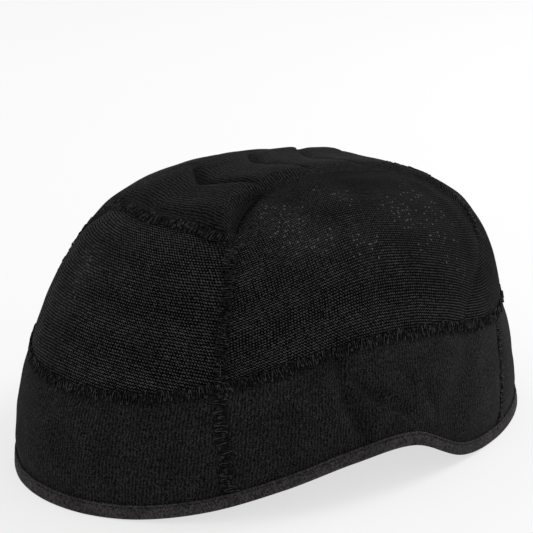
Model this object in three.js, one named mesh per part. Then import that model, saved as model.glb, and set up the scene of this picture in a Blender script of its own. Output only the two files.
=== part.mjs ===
// Helmet liner cap: a close skull cap of knit mesh with a padded top panel, a ribbed fleece band and a
// bound hem that rises over the ears and dips at the nape. Millimetres, +Z up, forehead towards -Y,
// wearer's left towards +X. The origin is under the middle of the cap, on the surface it rests on.
import * as THREE from "three";

const { clamp, degToRad, lerp, smoothstep } = THREE.MathUtils;

// Form of the crown, from the axis of the head to the hem each way
const frontReach = 101;
const backReach = 106;
const sideReach = 73.5;
const crownHeight = 100;

// Band: its height at the forehead, the hem's rise over the ear, and the turns of its seams. A turn is
// the angle that an ellipse is drawn by: 0 at the forehead, 90 degrees at the wearer's left and 180 at
// the nape
const bandHeight = 39;
const earLift = 15;
const bandFrontSeam = { foot: degToRad(48.5), head: degToRad(44.5) };
const bandBackSeam = { foot: degToRad(122), head: degToRad(128) };

// Seam between side and back panels where it meets the band
const meshBackSeam = degToRad(109);
const meshBackSeamBend = 1.6;

// Top panel: corners, bowed ends, waist and chevron grooves
const topFront = 46;
const topFrontHalfWidth = 33.5;
const topFrontBow = 8;
const topBack = 58;
const topBackHalfWidth = 46.5;
const topBackBow = 6;
const topWaist = 19.5;
const topFrontStraight = 10;
const topBackStraight = 5;
const topFrontFlare = 2.6;
const topBackFlare = 9;
const firstGroove = -32;
const groovePitch = 24.5;
const grooveSweep = 12;
const grooveBend = 1.3;
const grooveDepth = 1.3;

// Cloth thicknesses
const meshWall = 1;
const fleeceWall = 2;
const padWall = 2.2;
const bindingWall = 0.8;

// Binding
const bindingHeight = 5;
const bindingRound = 0.5;
const bulgeReach = 7;

// Seams: clear gap between cloth edges, and how far and how wide a seam draws the cloth in
const seamGap = 0.3;
const seamDip = 0.9;
const seamReach = 4.5;

// Folds of the band
const foldDepth = 2;
const foldReach = 4.5;

// Grid of each cloth
const topColumns = 16;
const meshRings = [0, 0.07, 0.19, 0.4, 0.68];
const meshSteps = { seam: 7, topEnd: 12, topSide: 27, front: 14, side: 20, back: 20 };
const bandRows = 7;
const bandColumns = { front: 20, side: 30, back: 24 };
const bindingSteps = 72;

// Sections of the crown from the hem up: shares of its height and of its reach each way
const sections = [
  { height: 0, front: 1, back: 1, side: 0.985 },
  { height: 0.14, front: 0.985, back: 0.96, side: 1 },
  { height: 0.28, front: 0.955, back: 0.925, side: 0.99 },
  { height: 0.42, front: 0.91, back: 0.89, side: 0.965 },
  { height: 0.56, front: 0.835, back: 0.855, side: 0.93 },
  { height: 0.69, front: 0.745, back: 0.8, side: 0.885 },
  { height: 0.81, front: 0.635, back: 0.705, side: 0.79 },
  { height: 0.91, front: 0.475, back: 0.51, side: 0.59 },
  { height: 0.975, front: 0.255, back: 0.26, side: 0.315 },
  { height: 1, front: 0, back: 0, side: 0 },
];
const topSection = sections.length - 1;

// Hem and band every 15 degrees of turn from the forehead to the nape: the hem's rise as a share of
// the ear lift, and the height of the seam over the band as a share of the band height
const hemRows = [
  { rise: 0, seam: 1.01 },
  { rise: 0, seam: 1.015 },
  { rise: 0.06, seam: 1.05 },
  { rise: 0.26, seam: 1.135 },
  { rise: 0.61, seam: 1.26 },
  { rise: 0.95, seam: 1.36 },
  { rise: 0.97, seam: 1.365 },
  { rise: 0.17, seam: 1.27 },
  { rise: 0, seam: 1.145 },
  { rise: 0, seam: 1.13 },
  { rise: 0, seam: 1.15 },
  { rise: 0, seam: 1.165 },
  { rise: 0, seam: 1.17 },
];
const hemRowStep = degToRad(15);

// Folds of the side band: ends as degrees of turn and shares up the band, then how deep, as a share
// of the fold depth
const folds = [
  { fromTurn: 73, fromShare: 0.98, toTurn: 78, toShare: 0.15, deep: 1 },
  { fromTurn: 77, fromShare: 0.7, toTurn: 87, toShare: 0.36, deep: 0.8 },
  { fromTurn: 106, fromShare: 0.95, toTurn: 98, toShare: 0.55, deep: 0.5 },
];

// Grooves of the top panel, front to back: how far each sweeps back, as a share of the groove sweep
const grooveRows = [{ sweep: 1 }, { sweep: 1 }, { sweep: 0.9 }, { sweep: 0.5 }];

// Pad between two grooves, front to back: place along it, and rise as a share of the groove depth
const padRows = [
  { place: 0, rise: -1 },
  { place: 0.07, rise: -0.75 },
  { place: 0.22, rise: -0.25 },
  { place: 0.45, rise: 0 },
  { place: 0.7, rise: 0.15 },
  { place: 0.88, rise: 0.2 },
  { place: 0.95, rise: -0.2 },
];

// Smooth curve through evenly spaced values, given the values beyond its two ends
function curveThrough(values, place, before, after) {
  const index = clamp(Math.floor(place), 0, values.length - 2);
  const from = values[index - 1] ?? before;
  const start = values[index];
  const end = values[index + 1];
  const to = values[index + 2] ?? after;
  const part = place - index;
  const bend = 2 * from - 5 * start + 4 * end - to + part * (3 * (start - end) + to - from);
  return start + 0.5 * part * (end - from + part * bend);
}

// Share of a section column at a place between the hem, 0, and the crown's top
function sectionShare(column, place) {
  const values = sections.map((row) => row[column]);
  const beyond = values[topSection - 1];
  const before = 2 * values[0] - values[1];
  return curveThrough(values, place, before, column === "height" ? beyond : -beyond);
}

// Value of a hem column at a turn
function hemShare(column, turn) {
  const values = hemRows.map((row) => row[column]);
  const place = Math.acos(Math.cos(turn)) / hemRowStep;
  return curveThrough(values, place, values[1], values[values.length - 2]);
}

// Height of the hem's underside
function hemHeight(turn) {
  return Math.max(0, earLift * hemShare("rise", turn));
}

// Height of the seam between the band and the mesh
function bandSeamHeight(turn) {
  return bandHeight * hemShare("seam", turn);
}

// Half width of a section of the crown, and its half length on the side that y lies on
function ringReach(section, y) {
  const front = frontReach * sectionShare("front", section);
  const back = backReach * sectionShare("back", section);
  return { side: sideReach * sectionShare("side", section), long: y < 0 ? front : back };
}

function sectionHeight(section) {
  return crownHeight * sectionShare("height", section);
}

// Point of the crown's surface
function crownPoint(turn, section) {
  const { side, long } = ringReach(section, -Math.cos(turn));
  return new THREE.Vector3(side * Math.sin(turn), -long * Math.cos(turn), sectionHeight(section));
}

// Section at which a measure that grows from the hem to the top passes zero
function sectionWhere(measure) {
  let low = 0;
  let high = topSection - 1e-4;
  for (let step = 0; step < 40; step += 1) {
    const middle = (low + high) / 2;
    if (measure(middle) < 0) {
      low = middle;
    } else {
      high = middle;
    }
  }
  return (low + high) / 2;
}

function sectionAtHeight(height) {
  return sectionWhere((section) => sectionHeight(section) - height);
}

// Turn and section of the crown's surface above a point of the plan
function placeInPlan(x, y) {
  const section = sectionWhere((trial) => {
    const { side, long } = ringReach(trial, y);
    return Math.hypot(x / side, y / long) - 1;
  });
  const { side, long } = ringReach(section, y);
  const turn = Math.atan2(x / side, -y / long);
  return new THREE.Vector2(turn < -Math.PI / 2 ? turn + 2 * Math.PI : turn, section);
}

// Point of the crown's surface in a direction from the middle of the head
const headMiddle = new THREE.Vector3(0, 0, crownHeight * 0.3);

function crownInDirection(direction) {
  const section = sectionWhere((trial) => {
    const { side, long } = ringReach(trial, direction.y);
    const toRing = 1 / Math.hypot(direction.x / side, direction.y / long);
    return sectionHeight(trial) - headMiddle.z - toRing * direction.z;
  });
  const { side, long } = ringReach(section, direction.y);
  return crownPoint(Math.atan2(direction.x / side, -direction.y / long), section);
}

// Outward normal of the crown at a point of its surface
function crownNormal(point) {
  const away = point.clone().sub(headMiddle).normalize();
  const round = new THREE.Vector3(-away.y, away.x, 0);
  if (round.length() < 1e-3) {
    return new THREE.Vector3(0, 0, 1);
  }
  round.normalize();
  const up = away.clone().cross(round);
  const probe = 0.01;
  const ahead = crownInDirection(away.clone().addScaledVector(round, probe));
  const behind = crownInDirection(away.clone().addScaledVector(round, -probe));
  const above = crownInDirection(away.clone().addScaledVector(up, probe));
  const below = crownInDirection(away.clone().addScaledVector(up, -probe));
  const normal = ahead.sub(behind).cross(above.sub(below)).normalize();
  return normal.dot(away) < 0 ? normal.negate() : normal;
}

// Two triangles between four points of a body, cut along the shorter diagonal
function quadFaces(points, a, b, c, d) {
  const across = points[a].distanceTo(points[c]) <= points[b].distanceTo(points[d]);
  return across ? [a, b, c, a, c, d] : [a, b, d, b, c, d];
}

// Closed body between an outer and an inner sheet, each a grid of rows of points
function clothBody(outer, inner) {
  const rows = outer.length;
  const columns = outer[0].length;
  const points = [...outer.flat(), ...inner.flat()];
  const faces = [];
  const quad = (a, b, c, d) => faces.push(...quadFaces(points, a, b, c, d));
  const out = (row, column) => row * columns + column;
  const into = (row, column) => rows * columns + out(row, column);
  for (let row = 0; row + 1 < rows; row += 1) {
    for (let column = 0; column + 1 < columns; column += 1) {
      quad(out(row, column), out(row, column + 1), out(row + 1, column + 1), out(row + 1, column));
      quad(into(row, column), into(row + 1, column), into(row + 1, column + 1), into(row, column + 1));
    }
  }
  for (let column = 0; column + 1 < columns; column += 1) {
    quad(out(0, column), into(0, column), into(0, column + 1), out(0, column + 1));
    const last = rows - 1;
    quad(out(last, column), out(last, column + 1), into(last, column + 1), into(last, column));
  }
  for (let row = 0; row + 1 < rows; row += 1) {
    quad(out(row, 0), out(row + 1, 0), into(row + 1, 0), into(row, 0));
    const last = columns - 1;
    quad(out(row, last), into(row, last), into(row + 1, last), out(row + 1, last));
  }
  return bodyFrom(points, faces);
}

// Closed body between an outer and an inner sheet, each of rings about a middle point, the rim first
function discBody(outer, inner) {
  const size = outer.rings[0].length;
  const last = outer.rings.length - 1;
  const points = [...outer.rings.flat(), outer.middle, ...inner.rings.flat(), inner.middle];
  const faces = [];
  const quad = (a, b, c, d) => faces.push(...quadFaces(points, a, b, c, d));
  const out = (ring, step) => ring * size + step;
  const outMiddle = out(last + 1, 0);
  const into = (ring, step) => outMiddle + 1 + out(ring, step);
  const intoMiddle = into(last + 1, 0);
  for (let step = 0; step < size; step += 1) {
    const next = (step + 1) % size;
    for (let ring = 0; ring < last; ring += 1) {
      quad(out(ring, step), out(ring, next), out(ring + 1, next), out(ring + 1, step));
      quad(into(ring, step), into(ring + 1, step), into(ring + 1, next), into(ring, next));
    }
    faces.push(out(last, step), out(last, next), outMiddle);
    faces.push(into(last, next), into(last, step), intoMiddle);
    quad(out(0, step), into(0, step), into(0, next), out(0, next));
  }
  return bodyFrom(points, faces);
}

// Closed body swept round the head: each ring is a section with the same number of points
function loopBody(rings) {
  const size = rings[0].length;
  const points = rings.flat();
  const faces = [];
  rings.forEach((ring, index) => {
    const next = (index + 1) % rings.length;
    for (let corner = 0; corner < size; corner += 1) {
      const beside = (corner + 1) % size;
      const a = index * size + corner;
      const b = next * size + corner;
      const c = next * size + beside;
      const d = index * size + beside;
      faces.push(...quadFaces(points, a, d, c, b));
    }
  });
  return bodyFrom(points, faces);
}

function bodyFrom(points, faces) {
  const geometry = new THREE.BufferGeometry();
  geometry.setFromPoints(points);
  geometry.setIndex(faces);
  geometry.computeVertexNormals();
  return geometry;
}

// The same body on the wearer's other side
function mirrored(geometry) {
  const copy = geometry.clone();
  copy.scale(-1, 1, 1);
  const index = copy.getIndex();
  for (let face = 0; face < index.count; face += 3) {
    const second = index.getX(face + 1);
    index.setX(face + 1, index.getX(face + 2));
    index.setX(face + 2, second);
  }
  copy.computeVertexNormals();
  return copy;
}

// Shares from 0 to 1 that lie closer together towards both ends
function easedShares(count) {
  const crowding = 0.12;
  return Array.from({ length: count + 1 }, (_, index) => {
    const share = index / count;
    return share - crowding * Math.sin(2 * Math.PI * share);
  });
}

// How far a seam draws in the cloth at a distance from it
function dipBeside(distance) {
  return seamDip * Math.exp(-((distance / seamReach) ** 2));
}

// Half width of the top panel at a place along its side seam
function topSeamHalfWidth(y) {
  const [straight, corner, flare, width] =
    y < 0
      ? [topFrontStraight, topFront, topFrontFlare, topFrontHalfWidth]
      : [topBackStraight, topBack, topBackFlare, topBackHalfWidth];
  const share = Math.max(0, (Math.abs(y) - straight) / (corner - straight));
  return topWaist + (width - topWaist) * share ** flare;
}

// The same half width of an outline that keeps a gap inside the seam
function topHalfWidth(y, gap) {
  const probe = 0.01;
  const slope = (topSeamHalfWidth(y + probe) - topSeamHalfWidth(y - probe)) / (2 * probe);
  return topSeamHalfWidth(y) - gap * Math.hypot(1, slope);
}

// Cross lines of the top panel, front to back, a gap inside its end seams: centre, how far the sides
// lie behind it, and the pad's rise
function topStations(gap) {
  const ends = [{ centre: gap - topFront - topFrontBow, sweep: topFrontBow }];
  grooveRows.forEach(({ sweep }, groove) => {
    ends.push({ centre: firstGroove + groove * groovePitch, sweep: sweep * grooveSweep });
  });
  ends.push({ centre: topBack + topBackBow - gap, sweep: -topBackBow });
  const stations = [];
  for (let pad = 0; pad + 1 < ends.length; pad += 1) {
    for (const { place, rise } of padRows) {
      stations.push({
        centre: lerp(ends[pad].centre, ends[pad + 1].centre, place),
        sweep: lerp(ends[pad].sweep, ends[pad + 1].sweep, place),
        rise: rise * grooveDepth,
      });
    }
  }
  stations.push({ ...ends[ends.length - 1], rise: padRows[0].rise * grooveDepth });
  return stations;
}

// Place of the top panel at a cross line and a share across, from -1 on the right to 1 on the left
function topPlace(station, across, gap) {
  const x = across * topHalfWidth(station.centre + station.sweep, gap);
  const y = station.centre + station.sweep * Math.abs(across) ** grooveBend;
  return placeInPlan(x, y);
}

function topPanel() {
  const outer = [];
  const inner = [];
  for (const station of topStations(seamGap)) {
    const outerRow = [];
    const innerRow = [];
    for (let column = 0; column <= topColumns; column += 1) {
      const across = (2 * column) / topColumns - 1;
      const place = topPlace(station, across, seamGap);
      const point = crownPoint(place.x, place.y);
      const normal = crownNormal(point);
      const edge = Math.abs(across) ** 6;
      const rise = lerp(station.rise, -seamDip, edge);
      outerRow.push(point.clone().addScaledVector(normal, rise));
      innerRow.push(point.clone().addScaledVector(normal, -padWall));
    }
    outer.push(outerRow);
    inner.push(innerRow);
  }
  return clothBody(outer, inner);
}

// Places and clear gaps along the edges of a mesh panel, anticlockwise as seen from outside
function outlineOf(edges) {
  return edges.flatMap(({ along, steps, gap }, index) => {
    const before = edges[(index + edges.length - 1) % edges.length];
    const cornerGap = Math.max(gap, before.gap);
    const shares = evenShares(steps).slice(0, -1);
    return shares.map((share) => ({ place: along(share), gap: share === 0 ? cornerGap : gap }));
  });
}

// Mesh panel of rings that follow its outline in towards its middle
function meshPanel(edges) {
  const outline = outlineOf(edges);
  const places = outline.map(({ place }) => place);
  const middle = new THREE.Box2().setFromPoints(places).getCenter(new THREE.Vector2());
  const pointToMiddle = (place, share) => {
    const spot = place.clone().lerp(middle, share);
    return crownPoint(spot.x, spot.y);
  };
  const corners = places.map((place) => pointToMiddle(place, 0));
  const rims = corners.map((corner, step) => new THREE.Line3(corner, corners[(step + 1) % corners.length]));
  const probe = 0.01;
  const insets = outline.map(({ place, gap }, step) => {
    const inward = pointToMiddle(place, probe).sub(corners[step]);
    const rimBefore = rims[(step + rims.length - 1) % rims.length];
    const clearing = [rimBefore, rims[step]].map((rim) => {
      const along = rim.delta(new THREE.Vector3()).normalize();
      return along.cross(inward).length();
    });
    return (gap * probe) / Math.min(...clearing);
  });
  const faceAt = (step, ring) => {
    const point = pointToMiddle(places[step], lerp(insets[step], 1, ring));
    const nearest = rims.map((rim) => rim.closestPointToPoint(point, true, new THREE.Vector3()));
    const distance = Math.min(...nearest.map((spot) => spot.distanceTo(point)));
    return { point, normal: crownNormal(point), dip: dipBeside(distance) };
  };
  const sheet = (depth) => {
    const placed = ({ point, normal, dip }) => point.clone().addScaledVector(normal, -dip - depth);
    return {
      rings: meshRings.map((ring) => places.map((_, step) => placed(faceAt(step, ring)))),
      middle: placed(faceAt(0, 1)),
    };
  };
  return discBody(sheet(0), sheet(meshWall));
}

// Place on the seam between mesh and band
function bandSeamPlace(turn) {
  return new THREE.Vector2(turn, sectionAtHeight(bandSeamHeight(turn)));
}

const seamStations = topStations(0);
const frontStation = seamStations[0];
const backStation = seamStations[seamStations.length - 1];

// Seams up the crown, from the band to the corners of the top panel on the wearer's left
function frontCornerSeam(up) {
  return bandSeamPlace(bandFrontSeam.head).lerp(topPlace(frontStation, 1, 0), up);
}

function backCornerSeam(up) {
  const foot = bandSeamPlace(meshBackSeam);
  const head = topPlace(backStation, 1, 0);
  const turn = lerp(foot.x, head.x, up ** meshBackSeamBend);
  return new THREE.Vector2(turn, lerp(foot.y, head.y, up));
}

// The same seams on the wearer's right, turned about the forehead or the nape
function aboutForehead(place) {
  return new THREE.Vector2(-place.x, place.y);
}

function aboutNape(place) {
  return new THREE.Vector2(2 * Math.PI - place.x, place.y);
}

function evenShares(count) {
  return Array.from({ length: count + 1 }, (_, index) => index / count);
}

function backwards(along) {
  return (share) => along(1 - share);
}

// Seam over the band between two turns
function bandSeamEdge(from, to, steps) {
  return { along: (share) => bandSeamPlace(lerp(from, to, share)), steps, gap: seamGap };
}

function seamEdge(along, steps) {
  return { along, steps, gap: seamGap / 2 };
}

function frontPanel() {
  return meshPanel([
    bandSeamEdge(-bandFrontSeam.head, bandFrontSeam.head, meshSteps.front),
    seamEdge(frontCornerSeam, meshSteps.seam),
    seamEdge((share) => topPlace(frontStation, 1 - 2 * share, 0), meshSteps.topEnd),
    seamEdge((share) => aboutForehead(frontCornerSeam(1 - share)), meshSteps.seam),
  ]);
}

function backPanel() {
  return meshPanel([
    bandSeamEdge(meshBackSeam, 2 * Math.PI - meshBackSeam, meshSteps.back),
    seamEdge((share) => aboutNape(backCornerSeam(share)), meshSteps.seam),
    seamEdge((share) => topPlace(backStation, 2 * share - 1, 0), meshSteps.topEnd),
    seamEdge(backwards(backCornerSeam), meshSteps.seam),
  ]);
}

// Side seam of the top panel on the wearer's left, front to back in even steps of its plan
function topSideSeam() {
  const fineSteps = 60;
  const plan = evenShares(fineSteps).map((share) => {
    const y = lerp(-topFront, topBack, share);
    return new THREE.Vector3(topSeamHalfWidth(y), y, 0);
  });
  const curve = new THREE.CatmullRomCurve3(plan);
  return (share) => {
    const { x, y } = curve.getPointAt(share);
    return placeInPlan(x, y);
  };
}

function sidePanel() {
  return meshPanel([
    bandSeamEdge(bandFrontSeam.head, meshBackSeam, meshSteps.side),
    seamEdge(backCornerSeam, meshSteps.seam),
    seamEdge(backwards(topSideSeam()), meshSteps.topSide),
    seamEdge(backwards(frontCornerSeam), meshSteps.seam),
  ]);
}

// Length along the hem for each radian of turn
function hemStride(turn) {
  const { side, long } = ringReach(0, -Math.cos(turn));
  return Math.hypot(side * Math.cos(turn), long * Math.sin(turn));
}

// Distance from a place on the band to a fold, along the cloth
function foldDistance(fold, turn, share) {
  const stride = hemStride(turn);
  const spot = new THREE.Vector3(turn * stride, share * bandHeight, 0);
  const from = new THREE.Vector3(degToRad(fold.fromTurn) * stride, fold.fromShare * bandHeight, 0);
  const to = new THREE.Vector3(degToRad(fold.toTurn) * stride, fold.toShare * bandHeight, 0);
  const nearest = new THREE.Line3(from, to).closestPointToPoint(spot, true, new THREE.Vector3());
  return nearest.distanceTo(spot);
}

// How far the band's outer face lies inside the crown's surface
function bandDepth(turn, height, share, firstSeam, lastSeam) {
  const aboveHem = height - hemHeight(turn);
  const clearOfHem = smoothstep(aboveHem, bindingHeight, bindingHeight + bulgeReach);
  const tuck = (bindingWall + seamGap) * (1 - clearOfHem);
  const toSideSeam = Math.min(turn - firstSeam, lastSeam - turn) * hemStride(turn);
  const toTopSeam = bandSeamHeight(turn) - height;
  const dip = Math.max(dipBeside(toSideSeam) * clearOfHem, dipBeside(toTopSeam));
  const fromForehead = Math.acos(Math.cos(turn));
  const creases = folds.map((fold) => {
    const distance = foldDistance(fold, fromForehead, share);
    return fold.deep * foldDepth * Math.exp(-((distance / foldReach) ** 2));
  });
  return tuck + dip + Math.max(...creases) * clearOfHem;
}

// Point inside the crown's surface, measured level at the hem and square to the cloth at the seam
function pointInside(turn, height, depth, square) {
  const point = crownPoint(turn, sectionAtHeight(height));
  const normal = crownNormal(point);
  const level = new THREE.Vector3(normal.x, normal.y, 0).normalize();
  const direction = level.lerp(normal, square).normalize();
  return point.addScaledVector(direction, -depth);
}

// Rows of the band above the binding, as shares of what stands clear of it
const openRowShares = easedShares(bandRows - 1);

function bandPiece(firstSeam, lastSeam, columns) {
  const outer = [];
  const inner = [];
  const foot = bindingWall + seamGap;
  const overBinding = bindingHeight + seamGap;
  for (let row = 0; row <= bandRows; row += 1) {
    const outerRow = [];
    const innerRow = [];
    for (const acrossShare of easedShares(columns)) {
      const square = row === 0 ? 0 : openRowShares[row - 1];
      const first = lerp(firstSeam.foot, firstSeam.head, square);
      const last = lerp(lastSeam.foot, lastSeam.head, square);
      const inset = seamGap / 2 / hemStride(lerp(first, last, acrossShare));
      const turn = lerp(first + inset, last - inset, acrossShare);
      const hem = hemHeight(turn);
      const whole = bandSeamHeight(turn) - seamGap / 2 - hem;
      const up = row === 0 ? foot : lerp(overBinding, whole, square);
      const depth = bandDepth(turn, hem + up, up / whole, first, last);
      outerRow.push(pointInside(turn, hem + up, depth, square));
      innerRow.push(pointInside(turn, hem + up, depth + fleeceWall, square));
    }
    outer.push(outerRow);
    inner.push(innerRow);
  }
  return clothBody(outer, inner);
}

// Binding folded over the band's raw edge: a loop of U section, flat underneath
function hemBinding() {
  const slot = fleeceWall + 2 * seamGap;
  const whole = 2 * bindingWall + slot;
  const section = [
    { up: 0, depth: bindingRound },
    { up: 0, depth: whole - bindingRound },
    { up: bindingRound, depth: whole },
    { up: bindingHeight, depth: whole },
    { up: bindingHeight, depth: whole - bindingWall },
    { up: bindingWall, depth: whole - bindingWall },
    { up: bindingWall, depth: bindingWall },
    { up: bindingHeight, depth: bindingWall },
    { up: bindingHeight, depth: 0 },
    { up: bindingRound, depth: 0 },
  ];
  const rings = [];
  for (let step = 0; step < bindingSteps; step += 1) {
    const turn = (2 * Math.PI * step) / bindingSteps;
    const hem = hemHeight(turn);
    rings.push(section.map(({ up, depth }) => pointInside(turn, hem + up, depth, 0)));
  }
  return loopBody(rings);
}

// Finishes
const meshKnit = new THREE.MeshStandardMaterial({ color: "#202021", roughness: 0.85, metalness: 0 });
const ribFleece = new THREE.MeshStandardMaterial({ color: "#232324", roughness: 1, metalness: 0 });
const padFleece = new THREE.MeshStandardMaterial({ color: "#262627", roughness: 1, metalness: 0 });
const binding = new THREE.MeshStandardMaterial({ color: "#312f30", roughness: 0.95, metalness: 0 });

const cap = new THREE.Group();
const originShift = (frontReach - backReach) / 2;

function addPiece(name, geometry, material) {
  const piece = new THREE.Mesh(geometry, material);
  piece.name = name;
  cap.add(piece);
}

const sideMesh = sidePanel();
const sideBand = bandPiece(bandFrontSeam, bandBackSeam, bandColumns.side);
const rightFrontSeam = { foot: -bandFrontSeam.foot, head: -bandFrontSeam.head };
const rightBackSeam = { foot: 2 * Math.PI - bandBackSeam.foot, head: 2 * Math.PI - bandBackSeam.head };
const frontBand = bandPiece(rightFrontSeam, bandFrontSeam, bandColumns.front);
const backBand = bandPiece(bandBackSeam, rightBackSeam, bandColumns.back);

addPiece("top_panel", topPanel(), padFleece);
addPiece("front_panel", frontPanel(), meshKnit);
addPiece("back_panel", backPanel(), meshKnit);
addPiece("side_panel_left", sideMesh, meshKnit);
addPiece("side_panel_right", mirrored(sideMesh), meshKnit);
addPiece("band_front", frontBand, ribFleece);
addPiece("band_back", backBand, ribFleece);
addPiece("band_left", sideBand, ribFleece);
addPiece("band_right", mirrored(sideBand), ribFleece);
addPiece("hem_binding", hemBinding(), binding);
cap.position.y = originShift;
cap.updateMatrixWorld(true);

export default cap;
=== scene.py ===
"""Dressed helmet liner cap: knit mesh, padded top panel, ribbed fleece band and bound hem.

Lengths are millimetres until a mesh is made, and the frame is that of the part: +Z up, forehead
towards -Y, wearer's left towards +X.
"""
import logging
import math
from dataclasses import dataclass, field
from enum import Enum
from typing import Callable, Sequence

import bpy
import numpy as np
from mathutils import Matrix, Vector


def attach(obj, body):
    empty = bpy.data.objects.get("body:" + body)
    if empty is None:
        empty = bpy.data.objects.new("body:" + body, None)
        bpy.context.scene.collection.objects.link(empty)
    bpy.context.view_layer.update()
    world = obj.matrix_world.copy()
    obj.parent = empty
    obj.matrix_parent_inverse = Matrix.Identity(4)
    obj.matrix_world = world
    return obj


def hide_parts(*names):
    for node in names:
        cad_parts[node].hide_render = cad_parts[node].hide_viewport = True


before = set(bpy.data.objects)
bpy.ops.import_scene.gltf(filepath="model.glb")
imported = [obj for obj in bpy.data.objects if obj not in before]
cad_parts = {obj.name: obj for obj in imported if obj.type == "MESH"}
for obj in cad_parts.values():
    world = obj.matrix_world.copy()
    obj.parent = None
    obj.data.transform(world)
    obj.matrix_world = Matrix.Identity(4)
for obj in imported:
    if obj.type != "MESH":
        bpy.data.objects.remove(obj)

Array = np.ndarray
log = logging.getLogger("liner_cap")

MILLIMETRE = 0.001
ORIGIN_SHIFT = np.array([0.0, -2.5, 0.0])


def spline(values: Array, place: Array) -> Array:
    """Follow a smooth curve through evenly spaced values.

    Args:
        values: the values, with one more beyond each end.
        place: where to read the curve, 0 at the first inner value.

    Returns:
        The curve's value at each place.
    """
    index = np.clip(np.floor(place).astype(int), 0, len(values) - 4)
    before, start, end, after = (values[index + step] for step in range(4))
    part = place - index
    bend = 2 * before - 5 * start + 4 * end - after + part * (3 * (start - end) + after - before)
    return start + 0.5 * part * (end - before + part * bend)


def lerp(start: Array, end: Array, share: Array) -> Array:
    """Value a share of the way from start to end."""
    return start + (end - start) * share


def smooth_step(value: Array, low: float, high: float) -> Array:
    """Soft step from 0 at low to 1 at high."""
    share = np.clip((value - low) / (high - low), 0, 1)
    return share * share * (3 - 2 * share)


def unit(vectors: Array) -> Array:
    """The same directions at length 1."""
    return vectors / np.maximum(np.linalg.norm(vectors, axis=-1, keepdims=True), 1e-12)


def crowded(count: int, crowding: float = 0.1) -> Array:
    """Shares from 0 to 1 that lie closer together towards both ends."""
    share = np.linspace(0, 1, count + 1)
    return share - crowding * np.sin(2 * np.pi * share)


def ripple(along: Array, up: Array, size: float, seed: int) -> Array:
    """Soft unevenness of cloth that lies over nothing, as a sum of slanted waves.

    Args:
        along: place along the cloth, in mm.
        up: place up the cloth, in mm.
        size: the longest wave, in mm.
        seed: picks the slants and phases.

    Returns:
        A height from about -1 to 1 at each place.
    """
    waves, shorter, lower, whole = 6, 0.45, 0.5, 2.4
    numbers = np.random.default_rng(seed)
    total = np.zeros_like(along, dtype=float)
    for octave in range(waves):
        slant = numbers.uniform(0, np.pi)
        phase = numbers.uniform(0, 2 * np.pi)
        length = size / (1 + shorter * octave)
        run = along * np.cos(slant) + up * np.sin(slant)
        total += np.sin(2 * np.pi * run / length + phase) / (1 + lower * octave)
    return total / whole


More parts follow.
